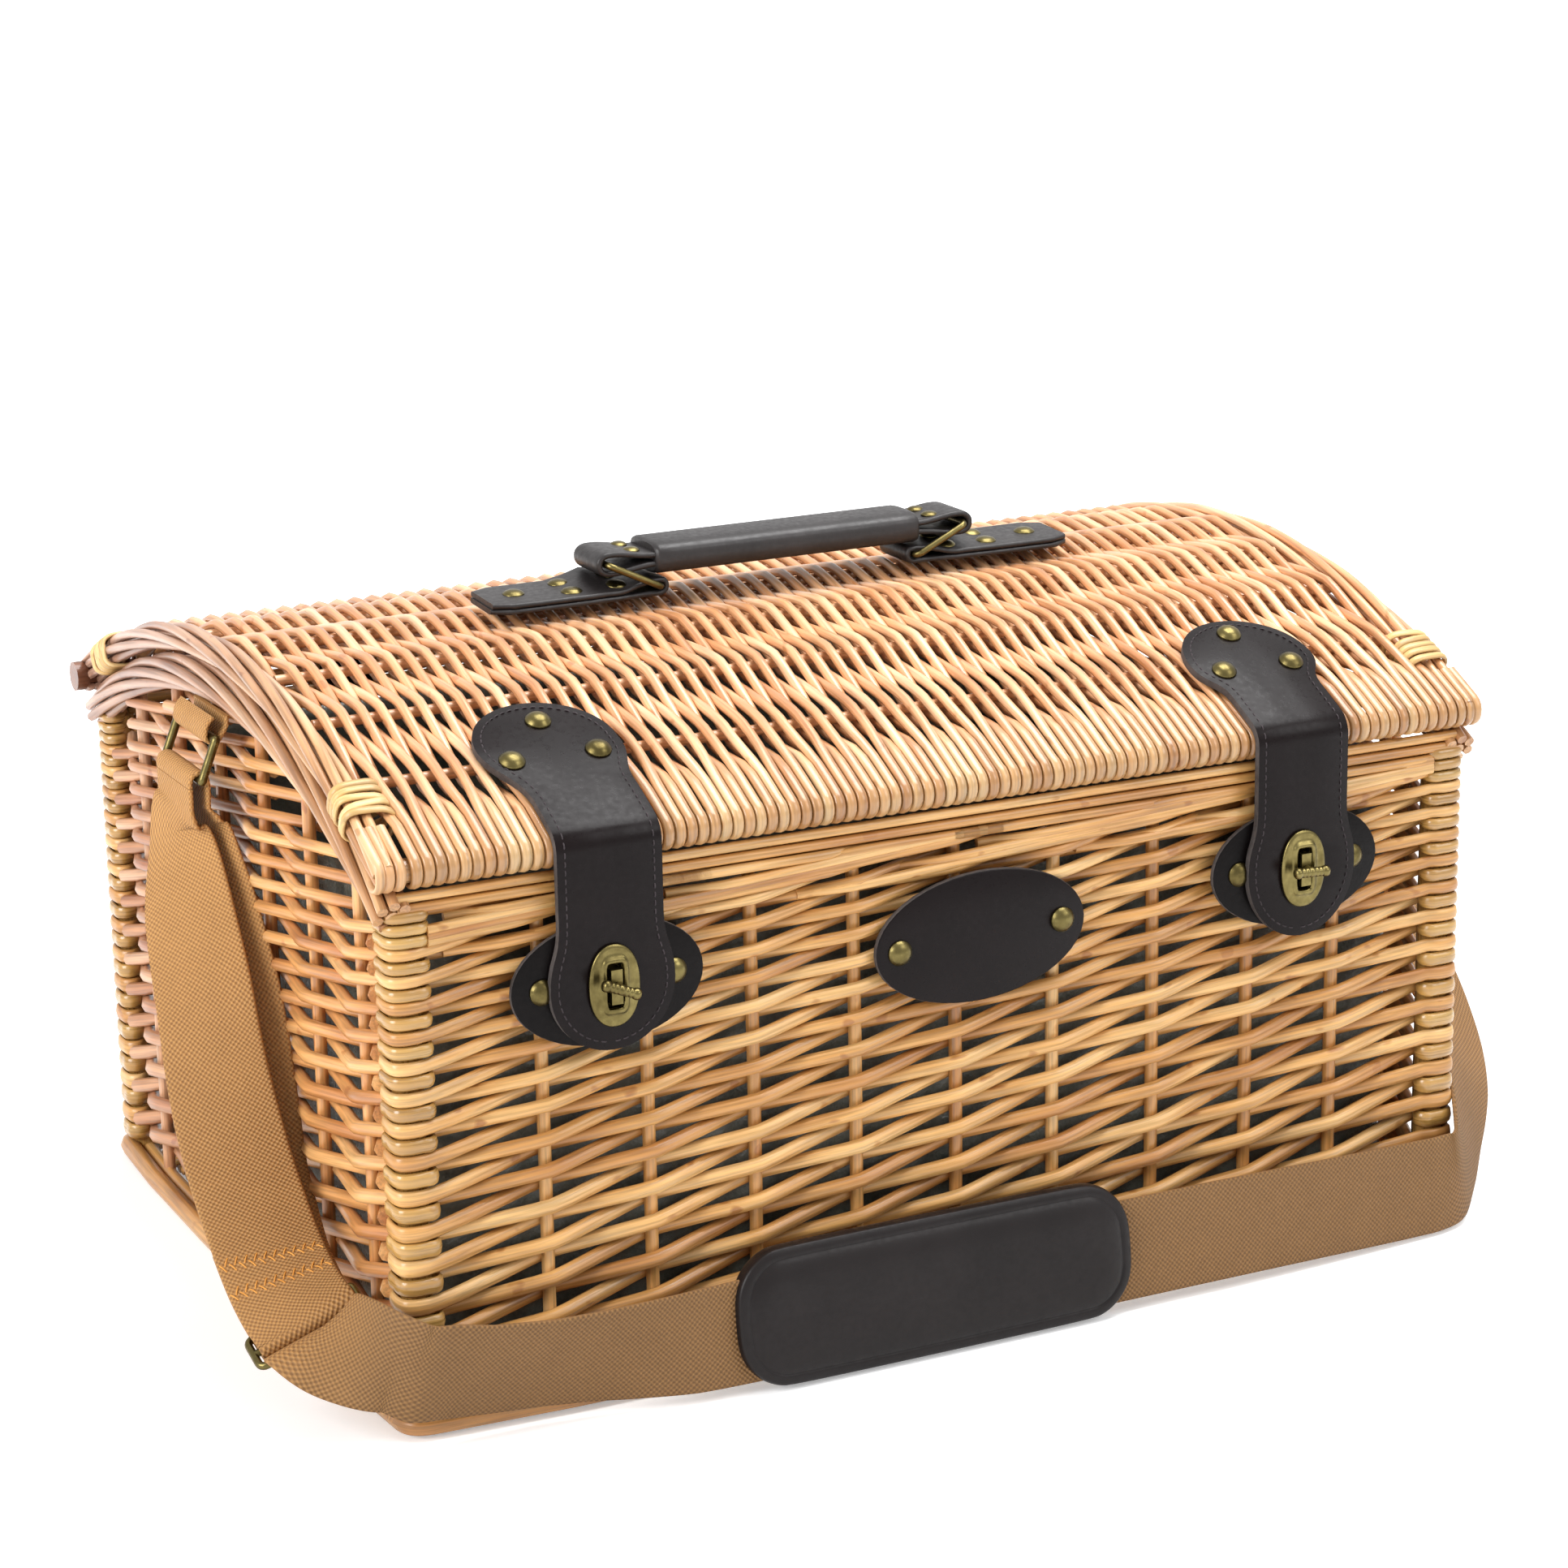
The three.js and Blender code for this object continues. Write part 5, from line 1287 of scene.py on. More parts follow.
@dataclass
class Body:
    """Walls, corners, borders, rims, foot and base.

    Attributes:
        rim_tops: inset and height of the level rods on top of a rim.
        foot_rods: inset, height and size of the rods round the foot.
        foot_corner: in from both sides at a foot rod's round corner.
        liner_cuts: first, last and number of the liner's folds along x, y and z.
        crease: lengths of the liner's creases along x, y and z.
    """

    long_stakes: tuple[float, ...] = (-170, -128, -85.5, -42.7, 0, 43.5, 87.6, 131, 171.7)
    end_stakes: tuple[float, ...] = (-125, -75, -25, 25, 75, 125)
    long_plane: float = 163.5
    end_plane: float = 222.5
    wrap_levels: int = 31
    post_inset: float = 9.0
    post_size: float = 12.0
    post_heights: tuple[float, ...] = (0.6, 60.0, 120.0, 197.0)
    border_x: float = 226.5
    border_depth: float = 8.0
    border_end: float = 2.0
    border_strands: int = 7
    border_strand: float = 4.2
    border_reach: float = 5.4
    border_lay: float = 430.0
    border_core: float = 5.4
    rim_rod: float = 3.95
    rim_rows: int = 4
    rim_low: float = 185.6
    rim_high: float = 195.6
    rim_pitch: float = 4.2
    rim_climb: float = 9.0
    rim_half: float = 214.0
    rim_first: float = -330.0
    rim_length: float = 172.0
    rim_shift: float = 43.0
    rim_shortest: float = 30.0
    rim_tuck: float = 4.6
    rim_tops: tuple[Flat, ...] = ((2.7, 199.9), (2.7, 204.2), (7.4, 197.0), (7.4, 202.0))
    rim_top_half: float = 225.0
    base_sticks: int = 9
    base_half: float = 190.0
    base_width: float = 150.0
    base_pitch: float = 5.2
    base_z: float = 4.4
    base_swing: float = 2.0
    base_rod: Flat = (4.4, 3.4)
    base_stick: Flat = (7.0, 2.6)
    base_stick_half: float = 158.0
    foot_rods: tuple[Triple, ...] = ((1.6, 4.4, 8.0), (8.6, 3.6, 6.5))
    foot_corner: tuple[Flat, ...] = ((8.0, 0.0), (2.3, 2.3), (0.0, 8.0))
    liner_size: Triple = (424.0, 308.0, 182.0)
    liner_foot: float = 9.6
    liner_corner: float = 14.0
    liner_cloth: float = 1.2
    liner_cuts: tuple[tuple[float, float, int], ...] = ((-180, 180, 31), (-140, 140, 25), (16, 186, 20))
    crease: Triple = (26.0, 26.0, 34.0)

    wrap_middle = 9.5
    wrap_plan = (
        (12.5, 9.5), (15.6, 7.6), (16.4, 4.2), (14.4, 1.4), (10.5, 1.3), (6.2, 1.3), (2.6, 2.8),
        (1.3, 6.2), (1.3, 10.5), (1.4, 14.4), (4.2, 16.6), (7.6, 15.6), (9.5, 12.5),
    )

    def make_walls(self) -> None:
        """Makes the four walls."""
        long_wall = (self.long_stakes, SHELL.half_length, self.long_plane, False)
        end_wall = (self.end_stakes, SHELL.half_width, self.end_plane, True)
        WovenWall("front_wall", (1, 0), *long_wall, 3).build(BODY_WILLOW)
        WovenWall("back_wall", (-1, 0), *long_wall, 5).build(BODY_WILLOW)
        WovenWall("right_end_wall", (0, 1), *end_wall, 7).build(END_WILLOW)
        WovenWall("left_end_wall", (0, -1), *end_wall, 9).build(END_WILLOW)

    def make_corner(self, side: int, end: int, name: str) -> None:
        """Makes a post with the short bands between the long ones.

        Args:
            side: -1 on the left and 1 on the right.
            end: -1 at the front and 1 at the back.
            name: the post's node.
        """
        bundle = Bundle(f"{name}_wraps", 20 + 2 * side + end)
        signs = np.array([side, end])
        corner = signs * np.array([SHELL.half_length, SHELL.half_width])
        line = smooth_line(self.wrap_plan, 3)
        flat = corner - line * signs
        out = np.pad(unit(self.wrap_middle - line) * signs, ((0, 0), (0, 1)))
        for level in range(1, self.wrap_levels + 1):
            if level % 2 == 0 and level <= LEVELS.count:
                continue
            height = np.full((len(line), 1), float(LEVELS.height(level)))
            bundle.run(np.append(flat, height, axis=1), out, LEVELS.band(level), LEVELS.band_thickness)
        middle = corner - signs * self.post_inset
        post = np.array([[*middle, height] for height in self.post_heights])
        bundle.run(post, (side, 0, 0), self.post_size, sides=12, tint=0.3)
        bundle.build(CORNER_WILLOW, "body", name)

    def make_borders(self) -> None:
        """Makes the plaited arch on each end."""
        radius = SHELL.border_radius - self.border_depth
        reach = math.asin((SHELL.half_width - self.border_end) / radius)
        for sign, side in SIDES:
            bundle = Bundle(f"{side}_end_border", 31 + sign)
            line, out = arch(sign * self.border_x, radius, -reach, reach)
            strands = (self.border_strands, self.border_strand, self.border_reach, self.border_lay)
            rope(bundle, line, out, *strands)
            bundle.run(line, out, self.border_core)
            bundle.build(BORDER_WILLOW, "body")

    def make_rims(self) -> None:
        """Makes the tight rods along the top of the long walls, each climbing over the next."""
        for sign, side in FRONT_AND_BACK:
            bundle = Bundle(f"{side}_rim_rods", 41 + sign)
            for row in range(self.rim_rows):
                first = self.rim_first + self.rim_shift * row
                for start in np.arange(first, self.rim_half, 3 * self.rim_shift):
                    self.rim_rod_run(bundle, sign, start + bundle.chance.uniform(-6.0, 6.0), row)
            for inset, height in self.rim_tops:
                x = np.linspace(-self.rim_top_half, self.rim_top_half, 12)
                line = columns(x, sign * (SHELL.half_width - inset), height)
                bundle.run(line, (0, sign, 0), self.rim_rod)
            bundle.build(BODY_WILLOW, "body", f"{side}_rim")

    def rim_rod_run(self, bundle: Bundle, sign: int, start: float, row: int) -> None:
        """Adds one rod of the rim, tucked in at both ends.

        Args:
            bundle: the rim.
            sign: -1 at the front and 1 at the back.
            start: where the rod starts along the wall.
            row: its row, from below.
        """
        low, high = max(start, -self.rim_half), min(start + self.rim_length, self.rim_half)
        if high - low < self.rim_shortest:
            return
        x = np.linspace(low, high, 26)
        share = (x - start) / self.rim_length
        tuck = np.clip(np.minimum(share, 1.0 - share) / 0.14, 0.0, 1.0)
        inset = self.rim_rod / 2 + 0.2 + self.rim_tuck * (0.5 + 0.5 * np.cos(np.pi * tuck))
        height = self.rim_low + self.rim_pitch * row + self.rim_climb * (share - 0.5)
        height = np.minimum(height + 0.3 * np.sin(x / 29.0 + row), self.rim_high)
        line = columns(-sign * x, sign * (SHELL.half_width - inset), height)
        bundle.run(line, (0, sign, 0), self.rim_rod)

    def make_base(self) -> None:
        """Makes the woven base and the rods round the foot."""
        bundle = Bundle("base_weave", 55)
        sticks = np.linspace(-self.base_half, self.base_half, self.base_sticks)
        share = np.linspace(-0.6, self.base_sticks - 0.4, 60)
        x = sticks[0] + share * (sticks[1] - sticks[0])
        for number, y in enumerate(np.arange(-self.base_width, self.base_width + 1.0, self.base_pitch)):
            lift = self.base_z - over_or_under(number) * self.base_swing * weave_wave(share)
            bundle.run(columns(x, y, lift), (0, 0, 1), *self.base_rod, sides=6)
        for stick in sticks:
            ends = (-self.base_stick_half, 0.0, self.base_stick_half)
            bundle.run(np.array([[stick, y, self.base_z] for y in ends]), (0, 0, 1), *self.base_stick)
        for inset, height, size in self.foot_rods:
            far_x, far_y = SHELL.half_length - inset, SHELL.half_width - inset
            corners = []
            for sx, sy in ((-1, -1), (1, -1), (1, 1), (-1, 1)):
                ordered = self.foot_corner[::-sx * sy]
                corners += [(sx * (far_x - dx), sy * (far_y - dy), height) for dx, dy in ordered]
            bundle.run(smooth_line(corners, 5, closed=True), (0, 0, 1), size, closed=True)
        bundle.build(BODY_WILLOW, "body", "base_panel")

    def make_liner(self) -> None:
        """Makes the slack fabric liner inside the walls."""
        shell = rounded_box(self.liner_size, 2, self.liner_corner, 3)
        lift = self.liner_foot + self.liner_size[2] / 2
        bmesh.ops.translate(shell, vec=(0.0, 0.0, lift), verts=shell.verts)
        top = max(shell.faces, key=lambda face: face.calc_center_median().z)
        bmesh.ops.delete(shell, geom=[top], context="FACES_ONLY")
        for axis, cuts in enumerate(self.liner_cuts):
            way = Vector(np.eye(3)[axis])
            for stop in np.linspace(*cuts):
                every = [*shell.verts, *shell.edges, *shell.faces]
                bmesh.ops.bisect_plane(shell, geom=every, plane_co=way * float(stop), plane_no=way)
        half_x, half_y = self.liner_size[0] / 2, self.liner_size[1] / 2
        for vertex in shell.verts:
            place = vertex.co
            crease = noise.fractal(Vector([p / length for p, length in zip(place, self.crease)]), 0.9, 2.0, 3)
            if place.z < self.liner_foot + 2.4:
                vertex.co.z += 1.2 + 1.2 * crease
            else:
                inward = Vector((place.x / half_x, place.y / half_y, 0.0)).normalized()
                vertex.co -= inward * (1.6 + 1.5 * crease)
        bmesh.ops.transform(shell, matrix=Matrix.Scale(MM, 4), verts=shell.verts)
        shade_smooth(shell)
        liner = piece_of("liner_cloth", shell, (material_of(LINING),))
        cloth = liner.modifiers.new("cloth", "SOLIDIFY")
        cloth.thickness = self.liner_cloth * MM
        cloth.offset = -1.0
        register(liner, "body", Slot.LINING, "liner")

    def build(self) -> None:
        """Makes every fixed piece of the body's willow and its liner."""
        self.make_walls()
        for side, across in SIDES:
            for end, along in FRONT_AND_BACK:
                self.make_corner(side, end, f"{along}_{across}_post")
        self.make_borders()
        self.make_rims()
        self.make_base()
        self.make_liner()


# Lid


@dataclass
class Lid:
    """Woven lid, its sticks, rails, end hoops and ties.

    Attributes:
        short_every: one rod in so many ends short of the rails.
        notch: half the width that the weave leaves free at a hinge.
        move_from: where a rod starts to move over to its place on the rail, and the length of that.
        short_end: where a short rod ends, and the length over which it is tucked in.
    """

    rods: int = 115
    first: float = -223.0
    spacing: float = 3.845
    short_every: int = 6
    rod: float = 3.9
    stick: float = 4.2
    stick_radius: float = 350.6
    stick_half: float = 222.4
    swing: float = 3.9
    stick_places: tuple[float, ...] = (-126, -84, -42, 0, 42, 84, 126)
    samples: int = 8
    end_samples: int = 6
    wrap: float = 2.4
    wrap_width: float = 4.5
    wrap_turn: float = 3.5
    wrap_samples: int = 12
    notch: float = 13.6
    move_from: Flat = (134.0, 24.0)
    short_end: Flat = (150.0, 12.0)
    short_sink: float = 2.6
    rail_core: float = 9.0
    rail_knob: float = 12.5
    rail_half: float = 230.0
    back_rail_over: float = 8.0
    hoop_x: float = 228.5
    hoop_depth: float = 6.0
    hoop_strands: int = 5
    hoop_strand: float = 3.8
    hoop_reach: float = 3.9
    hoop_lay: float = 330.0
    wrap_places: Triple = (224.4, 228.6, 232.0)
    tie_places: Flat = (-139.0, 141.0)
    tie_turns: int = 5
    tie_pitch: float = 3.5
    tie_in: float = 3.0
    tie_half: Flat = (9.2, 6.7)
    tie_power: float = 10.0 / 3.0
    tie_skein: Flat = (3.6, 1.8)

    def rail_wrap(self, sign: int, x: float) -> Route:
        """Returns a wrap round a rail at x from its outer side, and its outward directions."""
        angles = SHELL.edge_angle + np.linspace(0.0, self.wrap_turn, self.wrap_samples)
        out = columns(0.0, sign * np.sin(angles), np.cos(angles))
        middle = np.array([x, sign * SHELL.rail_y, SHELL.rail_z])
        return middle + (SHELL.rail_radius - self.wrap / 2) * out, out

    def rod_line(self, number: int, x: float) -> tuple[Points, Points, Points]:
        """Lays a rod over and under the sticks.

        Args:
            number: the rod's number, even ones over the first stick.
            x: its place along the lid.
        Returns:
            Its points, outward directions and how far it is flattened.
        """
        angles = np.arcsin(np.array(self.stick_places) / self.stick_radius)
        edge = SHELL.edge_angle - 0.004
        share = np.arange(self.samples) / self.samples
        ease = np.linspace(0.0, 1.0, self.end_samples + 1)
        rise = 0.5 - 0.5 * np.cos(np.pi * np.clip(ease[1:] * 1.5, 0, 1))
        top = SHELL.lid_radius - self.wrap / 2 - self.stick_radius
        start, end = (over_or_under(number + stick) * self.swing for stick in (0, len(angles) - 1))
        turns = [-edge + (angles[0] + edge) * ease[:-1]]
        heights = [start + (top - start) * rise[::-1]]
        for stick in range(len(angles) - 1):
            turns.append(angles[stick] + (angles[stick + 1] - angles[stick]) * share)
            heights.append(over_or_under(number + stick) * self.swing * weave_wave(share))
        turns += [angles[-1:], angles[-1] + (edge - angles[-1]) * ease[1:]]
        heights += [[end], end + (top - end) * rise]
        turn, height = np.concatenate(turns), np.concatenate(heights)
        flat = np.concatenate([rise[::-1], np.zeros(len(turn) - 2 * len(rise)), rise])
        out = columns(0.0, np.sin(turn), np.cos(turn))
        line = np.array([x, 0.0, SHELL.arc_z]) + (self.stick_radius + height)[:, None] * out
        return line, out, flat

    def long_rod(self, bundle: Bundle, number: int, x: float, end_x: float) -> None:
        """Adds a rod that goes round both rails.

        Args:
            bundle: the weave.
            number: the rod's number.
            x: its place between the sticks.
            end_x: its place on the rails.
        """
        line, out, flat = self.rod_line(number, x)
        from_y, over = self.move_from
        near = np.clip((np.abs(line[:, 1]) - from_y) / over, 0.0, 1.0)
        line[:, 0] += bundle.chance.uniform(-0.4, 0.4) * np.sin(line[:, 1] / 40.0 + number)
        line[:, 0] += (end_x - x) * near * near * (3.0 - 2.0 * near)
        front, front_out = self.rail_wrap(-1, end_x)
        back, back_out = self.rail_wrap(1, end_x)
        parts = [(front[::-1], front_out[::-1], np.ones(len(front))), (line, out, flat)]
        if abs(abs(end_x) - SHELL.hinge_x) < self.notch:
            parts[1] = (line[:-5], out[:-5], flat[:-5])
        else:
            parts.append((back, back_out, np.ones(len(back))))
        points, facing, flats = (np.concatenate(values) for values in zip(*parts))
        wide = self.rod + (self.wrap_width - self.rod) * flats
        thick = self.rod + (self.wrap - self.rod) * flats
        bundle.run(points, facing, wide, thick)

    def short_rod(self, bundle: Bundle, number: int, x: float) -> None:
        """Adds a rod whose ends are tucked between its neighbours, short of the rails."""
        line, out, _ = self.rod_line(number, x)
        end_y, tucked = self.short_end
        kept = np.abs(line[:, 1]) < end_y + bundle.chance.uniform(-3.0, 3.0)
        line, out = line[kept], out[kept]
        ends = np.clip((np.abs(line[:, 1]) - end_y) / tucked + 1.0, 0.0, 1.0)
        line -= self.short_sink * ends[:, None] * out
        bundle.run(line, out, self.rod * (1.0 - 0.3 * ends))

    def make_weave(self) -> None:
        """Makes the rods, over and under the sticks, most of them round both rails."""
        bundle = Bundle("lid_weave", 61)
        wraps = 0
        wrap_spacing = self.spacing * self.short_every / (self.short_every - 1)
        for number in range(1, self.rods + 1):
            x = self.first + self.spacing * number
            if number % self.short_every == self.short_every // 2:
                self.short_rod(bundle, number, x)
                continue
            wraps += 1
            self.long_rod(bundle, number, x, self.first + wrap_spacing * wraps)
        bundle.build(LID_WILLOW, "lid", "lid_panel")

    def make_sticks(self) -> None:
        """Makes the cross sticks between the rods."""
        bundle = Bundle("lid_sticks", 63)
        for y in self.stick_places:
            angle = math.asin(y / self.stick_radius)
            end = self.stick_half + bundle.chance.uniform(-0.8, 0.3)
            out = np.array([0.0, math.sin(angle), math.cos(angle)])
            middle = np.array([0.0, 0.0, SHELL.arc_z]) + self.stick_radius * out
            line = middle + np.linspace(-end, end, 25)[:, None] * np.array([1.0, 0.0, 0.0])
            bundle.run(line, out, self.stick)
        bundle.build(LID_WILLOW, "lid")

    def make_rails(self) -> None:
        """Makes the cores of both rails, the back one with a knob past the left end."""
        looks = ((0.0, LID_WILLOW), (self.back_rail_over, RAIL_WILLOW))
        for (sign, side), (over, finish) in zip(FRONT_AND_BACK, looks):
            core = Bundle(f"lid_{side}_rail_core", 65 + sign)
            left = -self.rail_half - over
            places = (left, left + 4.0, left + 6.0, 0.0, self.rail_half)
            line = np.array([[x, sign * SHELL.rail_y, SHELL.rail_z] for x in places])
            knob = line[:, 0] < -self.rail_half - 3.0
            core.run(line, (0, 0, 1), np.where(knob, self.rail_knob, self.rail_core), sides=12)
            core.build(finish, "lid", f"lid_{side}_rail")

    def make_hoops(self) -> None:
        """Makes the laid hoop at each end, its corner wraps and its ties."""
        radius = SHELL.lid_radius - self.hoop_depth
        reach = SHELL.edge_angle + 0.008
        for (sign, side), finish in zip(SIDES, (BORDER_WILLOW, LID_WILLOW)):
            bundle = Bundle(f"lid_{side}_hoop_rods", 71 + sign)
            line, out = arch(sign * self.hoop_x, radius, -reach, reach)
            rope(bundle, line, out, self.hoop_strands, self.hoop_strand, self.hoop_reach, self.hoop_lay)
            bundle.run(line, out, self.hoop_strand)
            for end in (-1, 1):
                for x in self.wrap_places:
                    self.corner_wrap(bundle, end, sign * x)
            bundle.build(finish, "lid", f"lid_{side}_hoop")
            ties = Bundle(f"lid_{side}_ties", 75 + sign)
            for y in self.tie_places:
                for turn in range(self.tie_turns):
                    shift = (turn - self.tie_turns // 2) * self.tie_pitch
                    self.tie(ties, sign, math.asin((y + shift) / radius), radius)
            ties.build(SKEIN, "lid")

    def corner_wrap(self, bundle: Bundle, end: int, x: float) -> None:
        """Adds a rod from the arch round a rail, past the last rod of the weave."""
        wrap, away = self.rail_wrap(end, x)
        lead, lead_out = arch(x, SHELL.lid_radius - 1.3, end * (SHELL.edge_angle - 0.05), 0.0, 1)
        bundle.run(np.vstack([lead, wrap]), np.vstack([lead_out, away]), 4.0, self.wrap)

    def tie(self, bundle: Bundle, sign: int, angle: float, radius: float) -> None:
        """Adds one flat skein turn round a hoop and the first rods.

        Args:
            bundle: the ties.
            sign: -1 on the left and 1 on the right.
            angle: its place on the arch, from upright.
            radius: the hoop's radius.
        """
        out = np.array([0.0, math.sin(angle), math.cos(angle)])
        side = np.array([float(sign), 0.0, 0.0])
        middle = np.array([sign * (self.hoop_x - self.tie_in), 0.0, SHELL.arc_z]) + radius * out
        turn = np.linspace(0.0, 2 * np.pi, 25)[:-1]
        across, lift = superellipse(turn, self.tie_power)
        loop = middle + self.tie_half[0] * across[:, None] * side + self.tie_half[1] * lift[:, None] * out
        away = np.cos(turn)[:, None] * side + np.sin(turn)[:, None] * out
        lean = bundle.chance.uniform(-1.6, 1.6) * np.cos(turn) + bundle.chance.uniform(-0.5, 0.5)
        loop += lean[:, None] * np.cross(side, out)
        bundle.run(loop, away, *self.tie_skein, closed=True)

    def build(self) -> None:
        """Makes all the lid's willow."""
        self.make_weave()
        self.make_sticks()
        self.make_rails()
        self.make_hoops()


# Leather and brass


class StrapLine:
    """Unrolls a lock strap: 0 where the flap leaves the rail, up over the lid, down the front."""

    def __init__(self, thickness: float = 3.0, gap: float = 0.3) -> None:
        """Works out the bend round the rail and the arc over the lid."""
        lift = gap + thickness / 2
        self.bend = SHELL.rail_radius + lift
        self.arc = SHELL.lid_radius + lift
        self.bend_length = self.bend * (math.pi / 2 - SHELL.edge_angle)

    def place(self, across: float, along: float, lift: float = 0.0) -> Vector:
        """Puts a point of the flat strap on the basket.

        Args:
            across: its x.
            along: its distance along the strap.
            lift: its height over the leather's middle.
        Returns:
            The point in mm.
        """
        if along <= 0.0:
            return Vector((across, -SHELL.rail_y - self.bend - lift, SHELL.rail_z + along))
        if along <= self.bend_length:
            angle = math.pi - along / self.bend
            reach = self.bend + lift
            y, z = -SHELL.rail_y + reach * math.cos(angle), SHELL.rail_z + reach * math.sin(angle)
            return Vector((across, y, z))
        angle = SHELL.edge_angle - (along - self.bend_length) / self.arc
        reach = self.arc + lift
        return Vector((across, -reach * math.sin(angle), SHELL.arc_z + reach * math.cos(angle)))


Placer = Callable[[float, float, float], Vector]
Stud = tuple[Sequence[float], Sequence[float]]
RIVET_PROFILE = (
    (0.0, 4.9), (0.7, 5.0), (1.0, 4.7), (1.25, 4.5),
    (2.0, 3.9), (2.7, 2.8), (3.1, 1.4), (3.2, 0.2),
)


def bezier(start: Flat, first: Flat, second: Flat, end: Flat, count: int = 8) -> list[Flat]:
    """Returns points of a cubic curve, without its end."""
    points = []
    for t in np.arange(count) / count:
        weights = ((1 - t) ** 3, 3 * t * (1 - t) ** 2, 3 * t * t * (1 - t), t**3)
        points.append(tuple(np.array(weights) @ np.array([start, first, second, end], float)))
    return points


def oval(width: float, height: float, count: int = 48) -> list[Flat]:
    """Returns an ellipse."""
    turns = np.linspace(0.0, 2 * math.pi, count + 1)[:-1]
    return [(width / 2 * math.cos(t), height / 2 * math.sin(t)) for t in turns]


def inset_line(outline: Outline, inset: float) -> list[Flat]:
    """Returns a closed outline moved inwards."""
    flat = np.asarray(outline, float)
    along = np.roll(flat, -1, axis=0) - np.roll(flat, 1, axis=0)
    side = unit(columns(-along[:, 1], along[:, 0]))
    area = np.sum(flat[:, 0] * np.roll(flat[:, 1], -1) - np.roll(flat[:, 0], -1) * flat[:, 1])
    return [tuple(point) for point in flat + side * inset * math.copysign(1.0, area)]


@dataclass(frozen=True)
class Leatherwork:
    """Cuts leather from flat outlines and puts it in place.

    Attributes:
        stitch_rise: a stitch's height over the leather's face, along its length.
    """

    rounding: float = 0.7
    sharp: float = math.radians(50.0)
    stitch_pitch: float = 3.2
    stitch_share: float = 0.72
    stitch_rise: tuple[float, ...] = (-0.35, 0.05, 0.12, 0.05, -0.35)
    thread: Flat = (0.6, 0.45)

    def cut(
        self,
        name: str,
        outline: Outline,
        place: Placer,
        thickness: float,
        finish: PlainFinish,
        cuts: Sequence[float] = (),
        hole: Triple | None = None,
    ) -> Object:
        """Cuts one piece.

        Args:
            name: the piece's name.
            outline: its flat edge, (across, along).
            place: puts (across, along, lift) on the basket.
            thickness: the leather's thickness.
            finish: its face.
            cuts: where along it bends.
            hole: half width, low and high end of a slot.
        Returns:
            The piece.
        """
        shell = bmesh.new()
        shell.faces.new([shell.verts.new((across, along, 0.0)) for across, along in outline])
        planes = [(Vector((0.0, cut, 0.0)), Vector((0.0, 1.0, 0.0))) for cut in cuts]
        if hole:
            planes += [(Vector((0.0, end, 0.0)), Vector((0.0, 1.0, 0.0))) for end in hole[1:]]
            planes += [(Vector((side, 0.0, 0.0)), Vector((1.0, 0.0, 0.0))) for side in (-hole[0], hole[0])]
        for point, way in planes:
            every = [*shell.verts, *shell.edges, *shell.faces]
            bmesh.ops.bisect_plane(shell, geom=every, plane_co=point, plane_no=way)
        if hole:
            gone = []
            for face in shell.faces:
                middle = face.calc_center_median()
                if abs(middle.x) < hole[0] and hole[1] < middle.y < hole[2]:
                    gone.append(face)
            bmesh.ops.delete(shell, geom=gone, context="FACES")
        for vertex in shell.verts:
            vertex.co = place(vertex.co.x, vertex.co.y, 0.0) * MM
        bmesh.ops.recalc_face_normals(shell, faces=shell.faces)
        shade_smooth(shell)
        piece = piece_of(name, shell, (material_of(finish), material_of(RAW_EDGE)))
        hide = piece.modifiers.new("hide", "SOLIDIFY")
        hide.thickness = thickness * MM
        hide.offset = 0.0
        hide.use_even_offset = True
        hide.material_offset_rim = 1
        edges = piece.modifiers.new("edges", "BEVEL")
        edges.width = self.rounding * MM
        edges.segments = 2
        edges.limit_method = "ANGLE"
        edges.angle_limit = self.sharp
        edges.harden_normals = False
        return piece

    def stitch(
        self, name: str, line: Outline, place: Placer, lift: float, finish: PlainFinish
    ) -> Object:
        """Sews a closed row of stitches along a flat line.

        Args:
            name: the piece's name.
            line: the row, (across, along).
            place: puts (across, along, lift) on the basket.
            lift: height of the leather's face over its middle.
            finish: the thread.
        Returns:
            The piece.
        """
        flat = np.vstack([line, line[:1]])
        gone = distances(flat)
        spots = np.linspace(0.0, self.stitch_pitch * self.stitch_share, len(self.stitch_rise))
        rise = np.array(self.stitch_rise) + lift
        bundle = Bundle(name, 81)
        for start in np.arange(0.0, gone[-1] - self.stitch_pitch, self.stitch_pitch):
            across, along = (np.interp(start + spots, gone, flat[:, axis]) for axis in (0, 1))
            points = np.array([place(*spot) for spot in zip(across, along, rise)])
            base, over = (np.array(place(flat[0, 0], along[0], height)) for height in (0.0, 5.0))
            bundle.run(points, over - base, *self.thread, sides=6)
        return bundle.build(finish)

    def rivets(
        self, name: str, studs: Iterable[Stud], body: str, nodes: Sequence[str] = (), scale: Flat = (1.0, 1.0)
    ) -> None:
        """Makes domed brass rivets.

        Args:
            name: the piece's name.
            studs: the foot of each and the direction it stands in.
            body: the body that they ride on.
            nodes: the nodes that they stand for.
            scale: their height and radius against a lock strap's rivets.
        """
        bundle = Bundle(name)
        for foot, out in studs:
            bundle.stud(foot, out, np.array(RIVET_PROFILE) * scale)
        bundle.build(BRASS, body, *nodes)


LEATHERWORK = Leatherwork()


@dataclass(frozen=True)
class StrapCut:
    """How one lock strap is cut and riveted.

    Attributes:
        reach: length of the head over the lid.
        lean: how far the head's end stands to one side.
        tip: how much the flap's end is longer than a half circle.
        rivets: the head's rivets, across and back from the lid's front edge.
        turn: the turn bar's angle from level.
    """

    reach: float
    lean: float
    tip: float
    rivets: tuple[Flat, ...]
    turn: float


